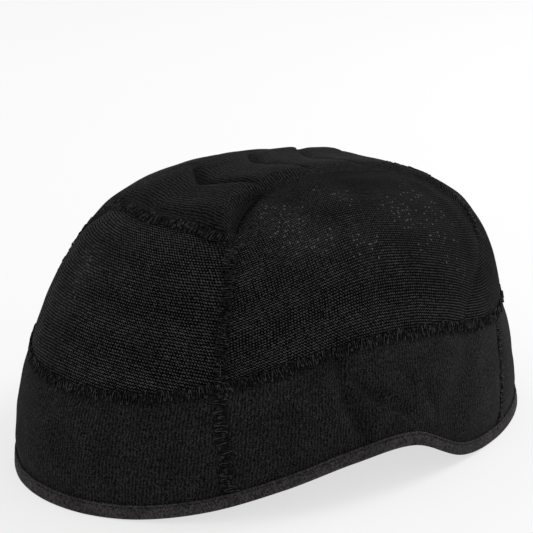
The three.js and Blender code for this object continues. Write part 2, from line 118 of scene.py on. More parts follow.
@dataclass(frozen=True)
class Crown:
    """The head's form that every panel lies on: oval sections stacked from the hem to the top."""

    front_reach: float = 101.0
    back_reach: float = 106.0
    side_reach: float = 73.5
    height: float = 100.0
    # Share of the height, then of the reach to the front, the back and the side
    sections: tuple[tuple[float, float, float, float], ...] = (
        (0.0, 1.0, 1.0, 0.985),
        (0.14, 0.985, 0.96, 1.0),
        (0.28, 0.955, 0.925, 0.99),
        (0.42, 0.91, 0.89, 0.965),
        (0.56, 0.835, 0.855, 0.93),
        (0.69, 0.745, 0.8, 0.885),
        (0.81, 0.635, 0.705, 0.79),
        (0.91, 0.475, 0.51, 0.59),
        (0.975, 0.255, 0.26, 0.315),
        (1.0, 0.0, 0.0, 0.0),
    )
    probe: float = 2e-3
    # Sections near the top: the last ones probed, and the span where the normal turns upright
    last_upper: float = 8.995
    last_middle: float = 8.99
    upright_span: tuple[float, float] = (8.9, 8.98)
    length_steps: int = 12

    def share(self, column: int, section: Array) -> Array:
        """Share of a column of the section table at each section."""
        values = np.array([row[column] for row in self.sections])
        beyond = values[-2] if column == 0 else -values[-2]
        return spline(np.concatenate([[2 * values[0] - values[1]], values, [beyond]]), section)

    def reach(self, section: Array, y: Array) -> tuple[Array, Array]:
        """Half width of each section, and its half length on the side that y lies on."""
        front = self.front_reach * self.share(1, section)
        back = self.back_reach * self.share(2, section)
        return self.side_reach * self.share(3, section), np.where(y < 0, front, back)

    def point(self, turn: Array, section: Array) -> Array:
        """Point of the surface at each turn, 0 at the forehead, and section."""
        side, long = self.reach(section, -np.cos(turn))
        height = self.height * self.share(0, section)
        return np.stack([side * np.sin(turn), -long * np.cos(turn), height], axis=-1)

    def normal(self, turn: Array, section: Array) -> Array:
        """Outward normal of the surface at each turn and section."""
        probe = self.probe
        upper = np.clip(section + probe, 2 * probe, self.last_upper)
        rise = self.point(turn, upper) - self.point(turn, upper - 2 * probe)
        middle = np.minimum(section, self.last_middle)
        around = self.point(turn + probe, middle) - self.point(turn - probe, middle)
        out = unit(np.cross(around, rise))
        top = smooth_step(section, *self.upright_span)[..., None]
        return unit(lerp(out, np.array([0.0, 0.0, 1.0]), top))

    def section_at_height(self, height: Array) -> Array:
        """Section whose height above the hem is given."""
        fine = np.linspace(0, len(self.sections) - 1, 4001)
        return np.interp(height, self.height * self.share(0, fine), fine)

    def place_in_plan(self, x: Array, y: Array) -> tuple[Array, Array]:
        """Turn and section of the surface above points of the plan."""
        low = np.zeros_like(x, dtype=float)
        high = np.full_like(low, len(self.sections) - 1 - 1e-4)
        for _ in range(40):
            middle = (low + high) / 2
            side, long = self.reach(middle, y)
            inside = np.hypot(x / side, y / long) < 1
            low = np.where(inside, middle, low)
            high = np.where(inside, high, middle)
        side, long = self.reach(low, y)
        turn = np.arctan2(x / side, -y / long)
        return np.where(turn < -np.pi / 2, turn + 2 * np.pi, turn), low

    def round_length(self, start: Array, end: Array, section: Array) -> Array:
        """Length along a section from one turn to another."""
        shares = (np.arange(self.length_steps) + 0.5) / self.length_steps
        turns = lerp(start[..., None], end[..., None], shares)
        side, long = self.reach(np.broadcast_to(section[..., None], turns.shape), -np.cos(turns))
        stride = np.hypot(side * np.cos(turns), long * np.sin(turns)).mean(axis=-1)
        return stride * (end - start)

    def upward_length(self, turn: Array, start: Array, end: Array) -> Array:
        """Length up the surface at one turn from a section to another."""
        shares = np.linspace(0, 1, self.length_steps + 1)
        places = lerp(start[..., None], end[..., None], shares)
        points = self.point(np.broadcast_to(turn[..., None], places.shape), places)
        length = np.linalg.norm(np.diff(points, axis=-2), axis=-1).sum(axis=-1)
        return length * np.sign(end - start)


@dataclass(frozen=True)
class Hem:
    """The hem's line and the height of the seam over the band."""

    band_height: float = 39.0
    ear_lift: float = 15.0
    row_step: float = math.radians(15)
    rise_shares: tuple[float, ...] = (0, 0, 0.06, 0.26, 0.61, 0.95, 0.97, 0.17, 0, 0, 0, 0, 0)
    seam_shares: tuple[float, ...] = (
        1.01, 1.015, 1.05, 1.135, 1.26, 1.36, 1.365, 1.27, 1.145, 1.13, 1.15, 1.165, 1.17,
    )

    def share(self, values: Sequence[float], turn: Array) -> Array:
        """Value of a row of shares at each turn."""
        known = np.array([values[1], *values, values[-2]])
        return spline(known, np.arccos(np.cos(turn)) / self.row_step)

    def height(self, turn: Array) -> Array:
        """Height of the hem's underside."""
        return np.maximum(0, self.ear_lift * self.share(self.rise_shares, turn))

    def seam_height(self, turn: Array) -> Array:
        """Height of the seam between the band and the mesh."""
        return self.band_height * self.share(self.seam_shares, turn)


@dataclass(frozen=True)
class SewnLine:
    """How a seam draws in the cloth beside it."""

    dip: float = 0.6
    reach: float = 4.5
    pinch: float = 0.25
    pinch_reach: float = 1.5
    gap: float = 0.02
    shade_reach: float = 2.7
    sink: float = 0.9
    sink_reach: float = 10.0
    front_sink: float = 1.0
    front_place: float = -40.0
    front_length: float = 18.0
    corner_sink: float = 1.3
    corner_reach: float = 2.4
    corner_place: float = -32.0
    corner_length: float = 9.0
    soft_reach: float = 4.0
    soft_depth: float = 0.6
    soft_shade: float = 0.7

    def beside_pad(self, distance: Array, y: Array) -> Array:
        """How far the mesh lies lower beside the padded strip."""
        along = np.exp(-(((y - self.corner_place) / self.corner_length) ** 2))
        corner = self.corner_sink * along * np.exp(-((distance / self.corner_reach) ** 2))
        front = 1 + self.front_sink * np.exp(-(((y - self.front_place) / self.front_length) ** 2))
        return self.sink * front * np.exp(-((distance / self.sink_reach) ** 2)) + corner

    def soft_side(self, to_pad: Array, y: Array) -> Array:
        """How flush the cloth lies at the pad's long seams, from 0 at the front corners."""
        along = np.exp(-(((y - self.corner_place) / self.corner_length) ** 2))
        return (1 - along) * np.exp(-((to_pad / self.soft_reach) ** 2))

    def depth(self, distance: Array) -> Array:
        """How far the cloth lies in at a distance from the seam."""
        wide = self.dip * np.exp(-((distance / self.reach) ** 2))
        return wide + self.pinch * np.exp(-((distance / self.pinch_reach) ** 2))

    def shade(self, distance: Array) -> Array:
        """Share of painted shade beside the seam, where the cloth lies in shade under and between
        the stitches, from 1 at the seam to 0.
        """
        return np.exp(-((distance / self.shade_reach) ** 4))


CROWN = Crown()
HEM = Hem()
SEWN = SewnLine()


@dataclass
class Cloth:
    """Points, faces and cloth coordinates of one closed piece of cloth, in mm."""

    points: Array
    faces: list[tuple[int, ...]]
    weave: Array
    layers: dict[str, Array] = field(default_factory=dict)

    def mirrored(self) -> "Cloth":
        """The same cloth on the wearer's other side."""
        points = self.points * np.array([-1.0, 1.0, 1.0])
        faces = [tuple(reversed(face)) for face in self.faces]
        return Cloth(points, faces, self.weave.copy(), dict(self.layers))

    def area(self) -> float:
        """Area of all its faces, in square millimetres."""
        total = 0.0
        for size in (3, 4):
            picked = np.array([face for face in self.faces if len(face) == size])
            if len(picked):
                corner = self.points[picked]
                ahead = corner[:, 2] - corner[:, 0]
                aside = corner[:, -1] - corner[:, 1] if size == 4 else corner[:, 1] - corner[:, 0]
                total += float(np.linalg.norm(np.cross(ahead, aside), axis=1).sum() / 2)
        return total


def grid_cloth(outer: Array, inner: Array, weave: Array, layers: dict[str, Array]) -> Cloth:
    """Close a cloth between two sheets of points.

    Args:
        outer: outer sheet, rows by columns by 3.
        inner: inner sheet of the same shape.
        weave: cloth coordinates, rows by columns by 2.
        layers: values by name, each rows by columns.

    Returns:
        The closed cloth.
    """
    rows, columns = outer.shape[:2]
    grid = np.arange(rows * columns).reshape(rows, columns)
    into = grid + rows * columns
    a, b, c, d = grid[:-1, :-1], grid[:-1, 1:], grid[1:, 1:], grid[1:, :-1]
    e, f, g, h = into[:-1, :-1], into[1:, :-1], into[1:, 1:], into[:-1, 1:]
    faces = [np.stack(part, -1).reshape(-1, 4) for part in ((a, b, c, d), (e, f, g, h))]
    rim = np.concatenate([grid[0, :-1], grid[:-1, -1], grid[-1, :0:-1], grid[:0:-1, 0]])
    onward = np.roll(rim, -1)
    skip = rows * columns
    faces.append(np.stack([rim, rim + skip, onward + skip, onward], -1))
    return Cloth(
        np.concatenate([outer.reshape(-1, 3), inner.reshape(-1, 3)]),
        [tuple(face) for part in faces for face in part.tolist()],
        np.concatenate([weave.reshape(-1, 2)] * 2),
        {name: np.concatenate([layer.reshape(-1)] * 2) for name, layer in layers.items()},
    )


def disc_cloth(outer: Array, inner: Array, weave: Array, layers: dict[str, Array]) -> Cloth:
    """Close a cloth between two sheets of rings, the rim first and the last ring a single point.

    Args:
        outer: outer sheet, rings by steps by 3.
        inner: inner sheet of the same shape.
        weave: cloth coordinates, rings by steps by 2.
        layers: values by name, each rings by steps.

    Returns:
        The closed cloth.
    """
    rings, steps = outer.shape[:2]
    whole = (rings - 1) * steps + 1
    grid = np.arange((rings - 1) * steps).reshape(rings - 1, steps)
    onward = np.roll(grid, -1, axis=1)
    a, b, c, d = grid[:-1], onward[:-1], onward[1:], grid[1:]
    faces = [np.stack([a, b, c, d], -1).reshape(-1, 4)]
    faces.append(np.stack([a, d, c, b], -1).reshape(-1, 4) + whole)
    faces.append(np.stack([grid[0], grid[0] + whole, onward[0] + whole, onward[0]], -1))
    middle = np.full(steps, whole - 1)
    fans = [
        np.stack([grid[-1], onward[-1], middle], -1),
        np.stack([onward[-1], grid[-1], middle], -1) + whole,
    ]

    def flat(sheet: Array) -> Array:
        """Points of a sheet with its middle once."""
        size = sheet.shape[-1]
        return np.concatenate([sheet[:-1].reshape(-1, size), sheet[-1, :1].reshape(-1, size)])

    return Cloth(
        np.concatenate([flat(outer), flat(inner)]),
        [tuple(face) for part in (*faces, *fans) for face in part.tolist()],
        np.concatenate([flat(weave)] * 2),
        {
            name: np.concatenate([flat(layer[..., None])[:, 0]] * 2)
            for name, layer in layers.items()
        },
    )


def make_piece(name: str, cloth: Cloth, material: bpy.types.Material) -> bpy.types.Object:
    """Turn a cloth into an object of the part.

    Args:
        name: the object's name.
        cloth: its points, faces and layers.
        material: its finish.

    Returns:
        The new object, at the origin.
    """
    mesh = bpy.data.meshes.new(name)
    points = (cloth.points + ORIGIN_SHIFT) * MILLIMETRE
    mesh.from_pydata(points.tolist(), [], cloth.faces)
    corners = np.zeros(len(mesh.loops), dtype=np.int32)
    mesh.loops.foreach_get("vertex_index", corners)
    weave = mesh.uv_layers.new(name="weave")
    weave.uv.foreach_set("vector", cloth.weave[corners].astype(np.float32).ravel())
    for layer, values in cloth.layers.items():
        attribute = mesh.attributes.new(layer, "FLOAT", "POINT")
        attribute.data.foreach_set("value", values.astype(np.float32))
    mesh.shade_smooth()
    mesh.set_sharp_from_angle(angle=math.radians(50))
    mesh.materials.append(material)
    piece = bpy.data.objects.new(name, mesh)
    bpy.context.scene.collection.objects.link(piece)
    return piece


# Finishes


def linear(colour: str) -> tuple[float, float, float, float]:
    """Turn an sRGB hex colour into opaque linear values."""
    parts = (int(colour[start:start + 2], 16) / 255 for start in (1, 3, 5))
    red, green, blue = (
        part / 12.92 if part <= 0.04045 else ((part + 0.055) / 1.055) ** 2.4 for part in parts
    )
    return red, green, blue, 1.0


# A socket, or a node whose first output is meant
Source = bpy.types.Node | bpy.types.NodeSocket

# Black, mixed in for the random darker patches and for painted shade
BLACK = linear("#000000")
MATH = "ShaderNodeMath"
VECTOR = "ShaderNodeVectorMath"
NOISE = "ShaderNodeTexNoise"
RANGE = "ShaderNodeMapRange"
SOFT = {"interpolation_type": "SMOOTHSTEP"}
MIX = "ShaderNodeMix"
# Inputs of a Mix node, and its output for colour
SHARE, VALUE_A, VALUE_B, COLOUR_A, COLOUR_B = 0, 2, 3, 6, 7
MIXED = 2


def add_node(
    tree: bpy.types.NodeTree,
    kind: str,
    values: dict[int | str, object] | Sequence[object] = (),
    **settings: object,
) -> bpy.types.Node:
    """Add a node to a tree, with its settings and links.

    Args:
        tree: the node tree.
        kind: the node's type name.
        values: a value or source for each input, by name or index, or in the inputs' order.
        settings: properties of the node.

    Returns:
        The new node.
    """
    node = tree.nodes.new(kind)
    for name, value in settings.items():
        setattr(node, name, value)
    for key, value in values.items() if isinstance(values, dict) else enumerate(values):
        if isinstance(value, bpy.types.Node):
            value = value.outputs[0]
        if isinstance(value, bpy.types.NodeSocket):
            tree.links.new(value, node.inputs[key])
        else:
            node.inputs[key].default_value = value
    return node


def wave(tree: bpy.types.NodeTree, place: Source, pitch: float) -> Source:
    """Cosine from -1 to 1 that repeats at a pitch in mm."""
    phase = add_node(tree, MATH, [place, 2 * math.pi / pitch], operation="MULTIPLY")
    return add_node(tree, MATH, [phase], operation="COSINE")


@dataclass(frozen=True)
class ClothFinish:
    """What every cloth finish of the cap shares."""

    name: str
    colour: str
    dark: str
    roughness: float = 0.9
    gloss: float = 0.06
    sheen: float = 0.25
    sheen_roughness: float = 0.45
    sheen_colour: str = "#8a8a8e"
    bump: float = 0.35
    bump_reach: float = 0.25
    # Share of painted shade that the cloth takes from its 'seam' layer
    seam_shade: float = 0.0
    patchy: float = 0.25
    patch_size: float = 11.0
    patch_span: tuple[float, float] = (0.36, 0.64)
    fluff_roughness: float = 0.6

    def height(self, tree: bpy.types.NodeTree, along: Source, up: Source) -> Source:
        """Height of the yarn from 0 to 1 at cloth coordinates in mm."""
        raise NotImplementedError

    def tone(self, tree: bpy.types.NodeTree, colour: Source) -> Source:
        """Colour after what is special to this cloth."""
        return colour

    def fluff(
        self, tree: bpy.types.NodeTree, size: float, detail: float, swing: float = 0.0
    ) -> Source:
        """Uneven fibre with grains of a size in mm.

        Args:
            tree: the material's tree.
            size: size of the largest grains, in mm.
            detail: how many times finer grains are added.
            swing: how much it varies about 0, or 0 for a value from 0 to 1.

        Returns:
            The unevenness.
        """
        place = add_node(tree, "ShaderNodeTexCoord").outputs["Object"]
        links = {
            "Vector": place,
            "Scale": 1000 / size,
            "Detail": detail,
            "Roughness": self.fluff_roughness,
        }
        noise = add_node(tree, NOISE, links)
        if not swing:
            return noise
        return add_node(tree, MATH, [noise, swing, -swing / 2], operation="MULTIPLY_ADD")

    def material(self) -> bpy.types.Material:
        """Build the material, with its yarn in colour and bump."""
        material = bpy.data.materials.new(self.name)
        material.use_nodes = True
        tree = material.node_tree
        tree.nodes.clear()
        weave = add_node(tree, "ShaderNodeUVMap", uv_map="weave")
        split = add_node(tree, "ShaderNodeSeparateXYZ", [weave]).outputs
        height = self.height(tree, split["X"], split["Y"])
        links = {SHARE: height, COLOUR_A: linear(self.dark), COLOUR_B: linear(self.colour)}
        colour = add_node(tree, MIX, links, data_type="RGBA").outputs[MIXED]
        patches = self.fluff(tree, self.patch_size, 3.0)
        worn = add_node(tree, RANGE, [patches, *self.patch_span, 0.0, self.patchy], **SOFT)
        links = {SHARE: worn, COLOUR_A: colour, COLOUR_B: BLACK}
        colour = add_node(tree, MIX, links, data_type="RGBA").outputs[MIXED]
        colour = self.tone(tree, colour)
        # Painted shade from the 'seam' layer: darker under and between the seams' stitches, in the
        # top panel's grooves and in the band's folds
        if self.seam_shade:
            near = add_node(tree, "ShaderNodeAttribute", attribute_name="seam").outputs["Fac"]
            painted_shade_share = add_node(tree, MATH, [near, self.seam_shade], operation="MULTIPLY")
            links = {SHARE: painted_shade_share, COLOUR_A: colour, COLOUR_B: BLACK}
            colour = add_node(tree, MIX, links, data_type="RGBA").outputs[MIXED]
        links = {
            "Height": height, "Strength": self.bump, "Distance": self.bump_reach * MILLIMETRE,
        }
        bump = add_node(tree, "ShaderNodeBump", links)
        shader = add_node(
            tree,
            "ShaderNodeBsdfPrincipled",
            {
                "Base Color": colour,
                "Roughness": self.roughness,
                "Specular IOR Level": self.gloss,
                "Sheen Weight": self.sheen,
                "Sheen Roughness": self.sheen_roughness,
                "Sheen Tint": linear(self.sheen_colour),
                "Normal": bump,
            },
        )
        add_node(tree, "ShaderNodeOutputMaterial", [shader])
        return material


@dataclass(frozen=True)
class MeshKnit(ClothFinish):
    """Fine polyester knit mesh: courses run round the head, with staggered pinholes between them.

    The courses are about 0.93 mm apart on the real cap and a little more here, so that they show.
    Spans along Y and over the crown are in metres.
    """

    course: float = 0.97
    eyelet: float = 1.0
    wander_size: float = 9.0
    course_wander: float = 0.7
    eyelet_wander: float = 0.9
    eyelet_depth: float = 1.6
    row_share: tuple[float, float] = (0.2, 0.5)
    stretch_span: tuple[float, float] = (-0.012, 0.022)
    drift_size: float = 30.0
    drift: float = 0.06
    depth: float = 2.0
    grain_size: float = 0.75
    grain: float = 5.0
    yarn_span: tuple[float, float] = (-0.3, 1.75)
    yarn_power: float = 1.8
    # Painted shade: the mesh darkens towards the top and the back, by its share, the span it sets
    # in over and how much Y counts beside Z
    open_shade: float = 0.7
    open_span: tuple[float, float] = (0.035, 0.12)
    open_lean: float = 0.8
    # Painted light where light shows through the pinholes: a faint glow, then pale dots
    painted_glow: float = 0.14
    painted_glow_colour: str = "#2e2e2f"
    cells_per_metre: float = 780.0
    cell_randomness: float = 0.6
    dot_span: tuple[float, float] = (0.1, 0.34)
    dot_power: float = 1.8
    dot_crowd: float = 0.8
    dot_strength: float = 0.9
    pinhole_light_colour: str = "#4e4e4f"

    def height(self, tree: bpy.types.NodeTree, along: Source, up: Source) -> Source:
        """Courses, which show more towards the back, over a staggered grid of eyelets."""
        wander = self.fluff(tree, self.wander_size, 1.0)
        rise = add_node(tree, MATH, [wander, self.course_wander], operation="MULTIPLY")
        lifted = add_node(tree, MATH, [up, rise], operation="ADD")
        shift = add_node(tree, MATH, [wander, self.eyelet_wander], operation="MULTIPLY")
        across = add_node(tree, MATH, [along, shift], operation="ADD")
        rows = wave(tree, lifted, self.course)
        crossed = [wave(tree, place, self.eyelet) for place in (across, lifted)]
        eyelets = add_node(tree, MATH, crossed, operation="MULTIPLY")
        place = add_node(tree, "ShaderNodeTexCoord").outputs["Object"]
        back = add_node(tree, "ShaderNodeSeparateXYZ", [place]).outputs["Y"]
        drift = self.fluff(tree, self.drift_size, 1.0, self.drift)
        drifted = add_node(tree, MATH, [back, drift], operation="ADD")
        stretch = add_node(tree, RANGE, [drifted, *self.stretch_span, 0.0, 1.0], **SOFT)
        share = add_node(tree, MATH, [stretch, *self.row_share], operation="MULTIPLY_ADD")
        deep = add_node(tree, MATH, [eyelets, self.eyelet_depth], operation="MULTIPLY")
        both = add_node(tree, MIX, {SHARE: share, VALUE_A: deep, VALUE_B: rows})
        grain = self.fluff(tree, self.grain_size, 2.0, self.grain)
        yarn = add_node(tree, MATH, [both, self.depth], operation="MULTIPLY")
        mixed = add_node(tree, MATH, [yarn, grain], operation="ADD")
        clear = add_node(tree, RANGE, [mixed, *self.yarn_span, 0.0, 1.0], **SOFT)
        return add_node(tree, MATH, [clear, self.yarn_power], operation="POWER")

    def tone(self, tree: bpy.types.NodeTree, colour: Source) -> Source:
        """Painted light of pinholes where the cloth is stretched over the crown, and painted shade
        towards the top and the back.
        """
        speckle = add_node(tree, "ShaderNodeAttribute", attribute_name="pinholes").outputs["Fac"]
        place = add_node(tree, "ShaderNodeTexCoord").outputs["Object"]
        apart = add_node(tree, "ShaderNodeSeparateXYZ", [place]).outputs
        # Painted shade: the mesh darker towards the top and the back
        lean = [apart["Y"], self.open_lean, apart["Z"]]
        over = add_node(tree, MATH, lean, operation="MULTIPLY_ADD")
        top_back_shade = add_node(tree, RANGE, [over, *self.open_span, 0.0, self.open_shade], **SOFT)
        # Painted light: a faint glow and pale dots where light shows through the pinholes
        painted_glow = add_node(tree, MATH, [speckle, self.painted_glow], operation="MULTIPLY")
        links = {
            "Vector": place, "Scale": self.cells_per_metre, "Randomness": self.cell_randomness,
        }
        cells = add_node(tree, "ShaderNodeTexVoronoi", links).outputs
        dot = add_node(tree, RANGE, [cells["Distance"], *self.dot_span, 1.0, 0.0], **SOFT)
        pick = add_node(tree, "ShaderNodeSeparateColor", [cells["Color"]])
        thick = add_node(tree, MATH, [speckle, self.dot_power], operation="POWER")
        crowd = add_node(tree, MATH, [thick, self.dot_crowd], operation="MULTIPLY")
        chosen = add_node(tree, MATH, [pick, crowd], operation="LESS_THAN")
        bright = add_node(tree, MATH, [chosen, self.dot_strength], operation="MULTIPLY")
        strength = add_node(tree, MATH, [dot, bright], operation="MULTIPLY")
        for share, paint in (
            (top_back_shade, BLACK),
            (painted_glow, linear(self.painted_glow_colour)),
            (strength, linear(self.pinhole_light_colour)),
        ):
            links = {SHARE: share, COLOUR_A: colour, COLOUR_B: paint}
            colour = add_node(tree, MIX, links, data_type="RGBA").outputs[MIXED]
        return colour


@dataclass(frozen=True)
class RibFleece(ClothFinish):
    """Brushed rib fleece: upright wales under a nap of loose fibre, both coarser than real."""

    wale: float = 1.2
    nap: float = 0.6
    rib: float = 0.5
    contrast: float = 1.0
    wander_size: float = 7.0
    wale_wander: float = 2.2
    strand_squeeze: float = 0.45
    # Keeps the noise off its lattice line at 0, which shows as a streak
    strand_offset: float = 37.3
    strand: float = 5.0
    strand_roughness: float = 0.65
    tuft_size: float = 0.45
    tuft: float = 6.6
    yarn_span: tuple[float, float] = (-1.7, 2.0)
    yarn_power: float = 1.3

    def height(self, tree: bpy.types.NodeTree, along: Source, up: Source) -> Source:
        """Upright wales, broken by the nap."""
        wander = self.fluff(tree, self.wander_size, 2.0)
        shift = add_node(tree, MATH, [wander, self.wale_wander], operation="MULTIPLY")
        across = add_node(tree, MATH, [along, shift], operation="ADD")
        wales = wave(tree, across, self.wale)
        squeezed = [up, self.strand_squeeze, self.strand_offset]
        rise = add_node(tree, MATH, squeezed, operation="MULTIPLY_ADD")
        links = {
            "Vector": add_node(tree, "ShaderNodeCombineXYZ", [across, rise]),
            "Scale": 1 / self.nap,
            "Detail": 3.0,
            "Roughness": self.strand_roughness,
        }
        strands = [add_node(tree, NOISE, links), self.strand, -self.strand / 2]
        combed = add_node(tree, MATH, strands, operation="MULTIPLY_ADD")
        tufts = self.fluff(tree, self.tuft_size, 1.0, self.tuft)
        ribs = add_node(tree, MATH, [wales, self.rib], operation="MULTIPLY")
        fibre = add_node(tree, MATH, [combed, tufts], operation="ADD")
        mixed = add_node(tree, MATH, [ribs, fibre], operation="ADD")
        low, high = (limit / self.contrast for limit in self.yarn_span)
        clear = add_node(tree, RANGE, [mixed, low, high, 0.0, 1.0], **SOFT)
        return add_node(tree, MATH, [clear, self.yarn_power], operation="POWER")


@dataclass(frozen=True)
class PadFleece(RibFleece):
    """The same fleece over padding, with its wales across the head."""

    def height(self, tree: bpy.types.NodeTree, along: Source, up: Source) -> Source:
        """Wales across the head, under the nap."""
        return super().height(tree, up, along)


@dataclass(frozen=True)
class BindingTape(ClothFinish):
    """Smooth knit binding tape: fine, even and a shade paler than the fleece."""

    course: float = 0.9
    slant: float = 0.6
    course_depth: float = 0.3
    cloud_size: float = 0.8
    cloud: float = 6.0
    spread: float = 1.5

    def height(self, tree: bpy.types.NodeTree, along: Source, up: Source) -> Source:
        """Fine slanted courses with soft cloudy patches."""
        shift = add_node(tree, MATH, [up, self.slant], operation="MULTIPLY")
        slanted = add_node(tree, MATH, [along, shift], operation="ADD")
        rows = wave(tree, slanted, self.course)
        cloud = self.fluff(tree, self.cloud_size, 3.0, self.cloud)
        shallow = add_node(tree, MATH, [rows, self.course_depth], operation="MULTIPLY")
        mixed = add_node(tree, MATH, [shallow, cloud], operation="ADD")
        return add_node(tree, RANGE, [mixed, -self.spread, self.spread, 0.0, 1.0], **SOFT)


@dataclass(frozen=True)
class SewingThread(ClothFinish):
    """Textured polyester overlock thread, soft and a little bright at its crests."""

    filament_size: float = 1.1
    filament_span: tuple[float, float] = (0.38, 0.66)

    def height(self, tree: bpy.types.NodeTree, along: Source, up: Source) -> Source:
        """Loose filaments, bright where they lie on top."""
        filaments = self.fluff(tree, self.filament_size, 3.0)
        return add_node(tree, RANGE, [filaments, *self.filament_span, 0.0, 1.0], **SOFT)


# Black polyester mesh knit: matt filament with dark gaps between the rows, which gives the eye a
# thin, airy cloth whose fine rows catch the light one by one
MESH_KNIT = MeshKnit(
    "mesh_knit", "#404041", "#010101", roughness=0.9, gloss=0.03, sheen=0.01, bump=0.5,
    seam_shade=0.35,
)
# Brushed rib fleece: the nap scatters what light it gets, which gives the eye a soft, flat black
# with faint upright wales
RIB_FLEECE = RibFleece(
    "rib_fleece", "#2b2b2b", "#020202", roughness=1.0, sheen=0.03, bump=0.3, seam_shade=0.4
)
# The same fleece pulled over padding: its nap stands open, which gives the eye a rougher, deeper
# black with clearer tufts, and painted shade darkens its grooves
PAD_FLEECE = PadFleece(
    "pad_fleece", "#252526", "#000000", roughness=1.0, sheen=0.02, bump=0.6, seam_shade=0.5,
    rib=1.0, contrast=1.5,
)
# Knit nylon binding tape: flat, close courses, which give the eye an even edge a shade paler and
# warmer than the fleece
BINDING_TAPE = BindingTape(
    "binding_tape", "#3e3b3b", "#100f0f", roughness=0.9, sheen=0.04, bump=0.15
)
# Black textured polyester overlock thread, painted grey: the grey is painted highlight where its
# loose filaments shine at each crest, which gives the eye the pale zigzag over the seams
SEAM_THREAD = SewingThread("seam_thread", "#3c3c3d", "#060607", roughness=0.8, sheen=0.05)
# The same thread in black, under the grey one, which gives the eye the shade between its loops
EDGE_THREAD = SewingThread("edge_thread", "#1a1a1b", "#08080a", roughness=0.8, sheen=0.03)
# Tight black lockstitch thread pulled into the tape, which gives the eye a line of small dents
HEM_THREAD = SewingThread("hem_thread", "#0b0b0c", "#050506", roughness=0.8, sheen=0.02)


# Panels


@dataclass(frozen=True)
class Seams:
    """Where the panels' seams run, as turn and section of the crown."""

    band_front_foot: float = math.radians(48.5)
    band_front_head: float = math.radians(44.5)
    band_back_foot: float = math.radians(122)
    band_back_head: float = math.radians(128)
    mesh_back: float = math.radians(109)
    mesh_back_bend: float = 1.6
    top_front: float = 46.0
    top_front_half: float = 33.5
    top_front_bow: float = 8.0
    top_back: float = 58.0
    top_back_half: float = 46.5
    top_back_bow: float = 6.0
    top_waist: float = 19.5
    top_front_straight: float = 10.0
    top_back_straight: float = 5.0
    top_front_flare: float = 2.6
    top_back_flare: float = 9.0
    end_bend: float = 1.3

    def over_band(self, turn: Array) -> Array:
        """Seam between the mesh and the band."""
        turn = np.asarray(turn, dtype=float)
        return np.stack([turn, CROWN.section_at_height(HEM.seam_height(turn))], axis=-1)

    def top_half_width(self, y: Array) -> Array:
        """Half width of the top panel at a place along its side seam."""
        front = y < 0
        straight = np.where(front, self.top_front_straight, self.top_back_straight)
        corner = np.where(front, self.top_front, self.top_back)
        flare = np.where(front, self.top_front_flare, self.top_back_flare)
        width = np.where(front, self.top_front_half, self.top_back_half)
        share = np.maximum(0, (np.abs(y) - straight) / (corner - straight))
        return self.top_waist + (width - self.top_waist) * share**flare

    def top_end(self, across: Array, back: bool) -> Array:
        """End seam of the top panel, across from -1 on the right to 1 on the left."""
        across = np.asarray(across, dtype=float)
        if back:
            y = self.top_back + self.top_back_bow * (1 - np.abs(across) ** self.end_bend)
            x = across * self.top_back_half
        else:
            y = -self.top_front - self.top_front_bow * (1 - np.abs(across) ** self.end_bend)
            x = across * self.top_front_half
        return np.stack(CROWN.place_in_plan(x, y), axis=-1)

    def top_side(self, share: Array) -> Array:
        """Side seam of the top panel on the wearer's left, front to back in even steps."""
        y = np.linspace(-self.top_front, self.top_back, 2001)
        x = self.top_half_width(y)
        run = np.concatenate([[0], np.cumsum(np.hypot(np.diff(x), np.diff(y)))])
        place = np.asarray(share, dtype=float) * run[-1]
        return np.stack(
            CROWN.place_in_plan(np.interp(place, run, x), np.interp(place, run, y)), axis=-1
        )

    def front_corner(self, up: Array) -> Array:
        """Seam from the band to the front corner of the top panel on the wearer's left."""
        foot = self.over_band(self.band_front_head)
        head = self.top_end(1.0, back=False)
        return lerp(foot, head, np.asarray(up, dtype=float)[..., None])

    def back_corner(self, up: Array) -> Array:
        """Seam from the band to the back corner of the top panel on the wearer's left."""
        foot = self.over_band(self.mesh_back)
        head = self.top_end(1.0, back=True)
        up = np.asarray(up, dtype=float)
        turn = lerp(foot[0], head[0], up**self.mesh_back_bend)
        return np.stack([turn, lerp(foot[1], head[1], up)], axis=-1)


SEAMS = Seams()


def about_forehead(places: Array) -> Array:
    """The same places on the wearer's other side, turned about the forehead."""
    return places * np.array([-1.0, 1.0])


def about_nape(places: Array) -> Array:
    """The same places on the wearer's other side, turned about the nape."""
    return places * np.array([-1.0, 1.0]) + np.array([2 * np.pi, 0.0])


def seam_distance(points: Array, lines: Sequence[Array]) -> Array:
    """Distance from each point to the nearest of several fine lines of points."""
    best = np.full(points.shape[:-1], np.inf)
    flat = points.reshape(-1, 3)
    for line in lines:
        start, step = line[:-1], np.diff(line, axis=0)
        square = np.maximum((step**2).sum(axis=1), 1e-12)
        for first in range(0, len(flat), 4000):
            away = flat[first:first + 4000, None] - start
            share = np.clip((away * step).sum(axis=2) / square, 0, 1)
            near = np.linalg.norm(away - share[..., None] * step, axis=2).min(axis=1)
            span = best.reshape(-1)[first:first + 4000]
            np.minimum(span, near, out=span)
    return best


def pad_sides() -> list[Array]:
    """The two long seams of the top panel, as fine lines of points."""
    side = SEAMS.top_side(np.linspace(0, 1, 200))
    line = CROWN.point(side[:, 0], side[:, 1])
    return [line, line * np.array([-1.0, 1.0, 1.0])]


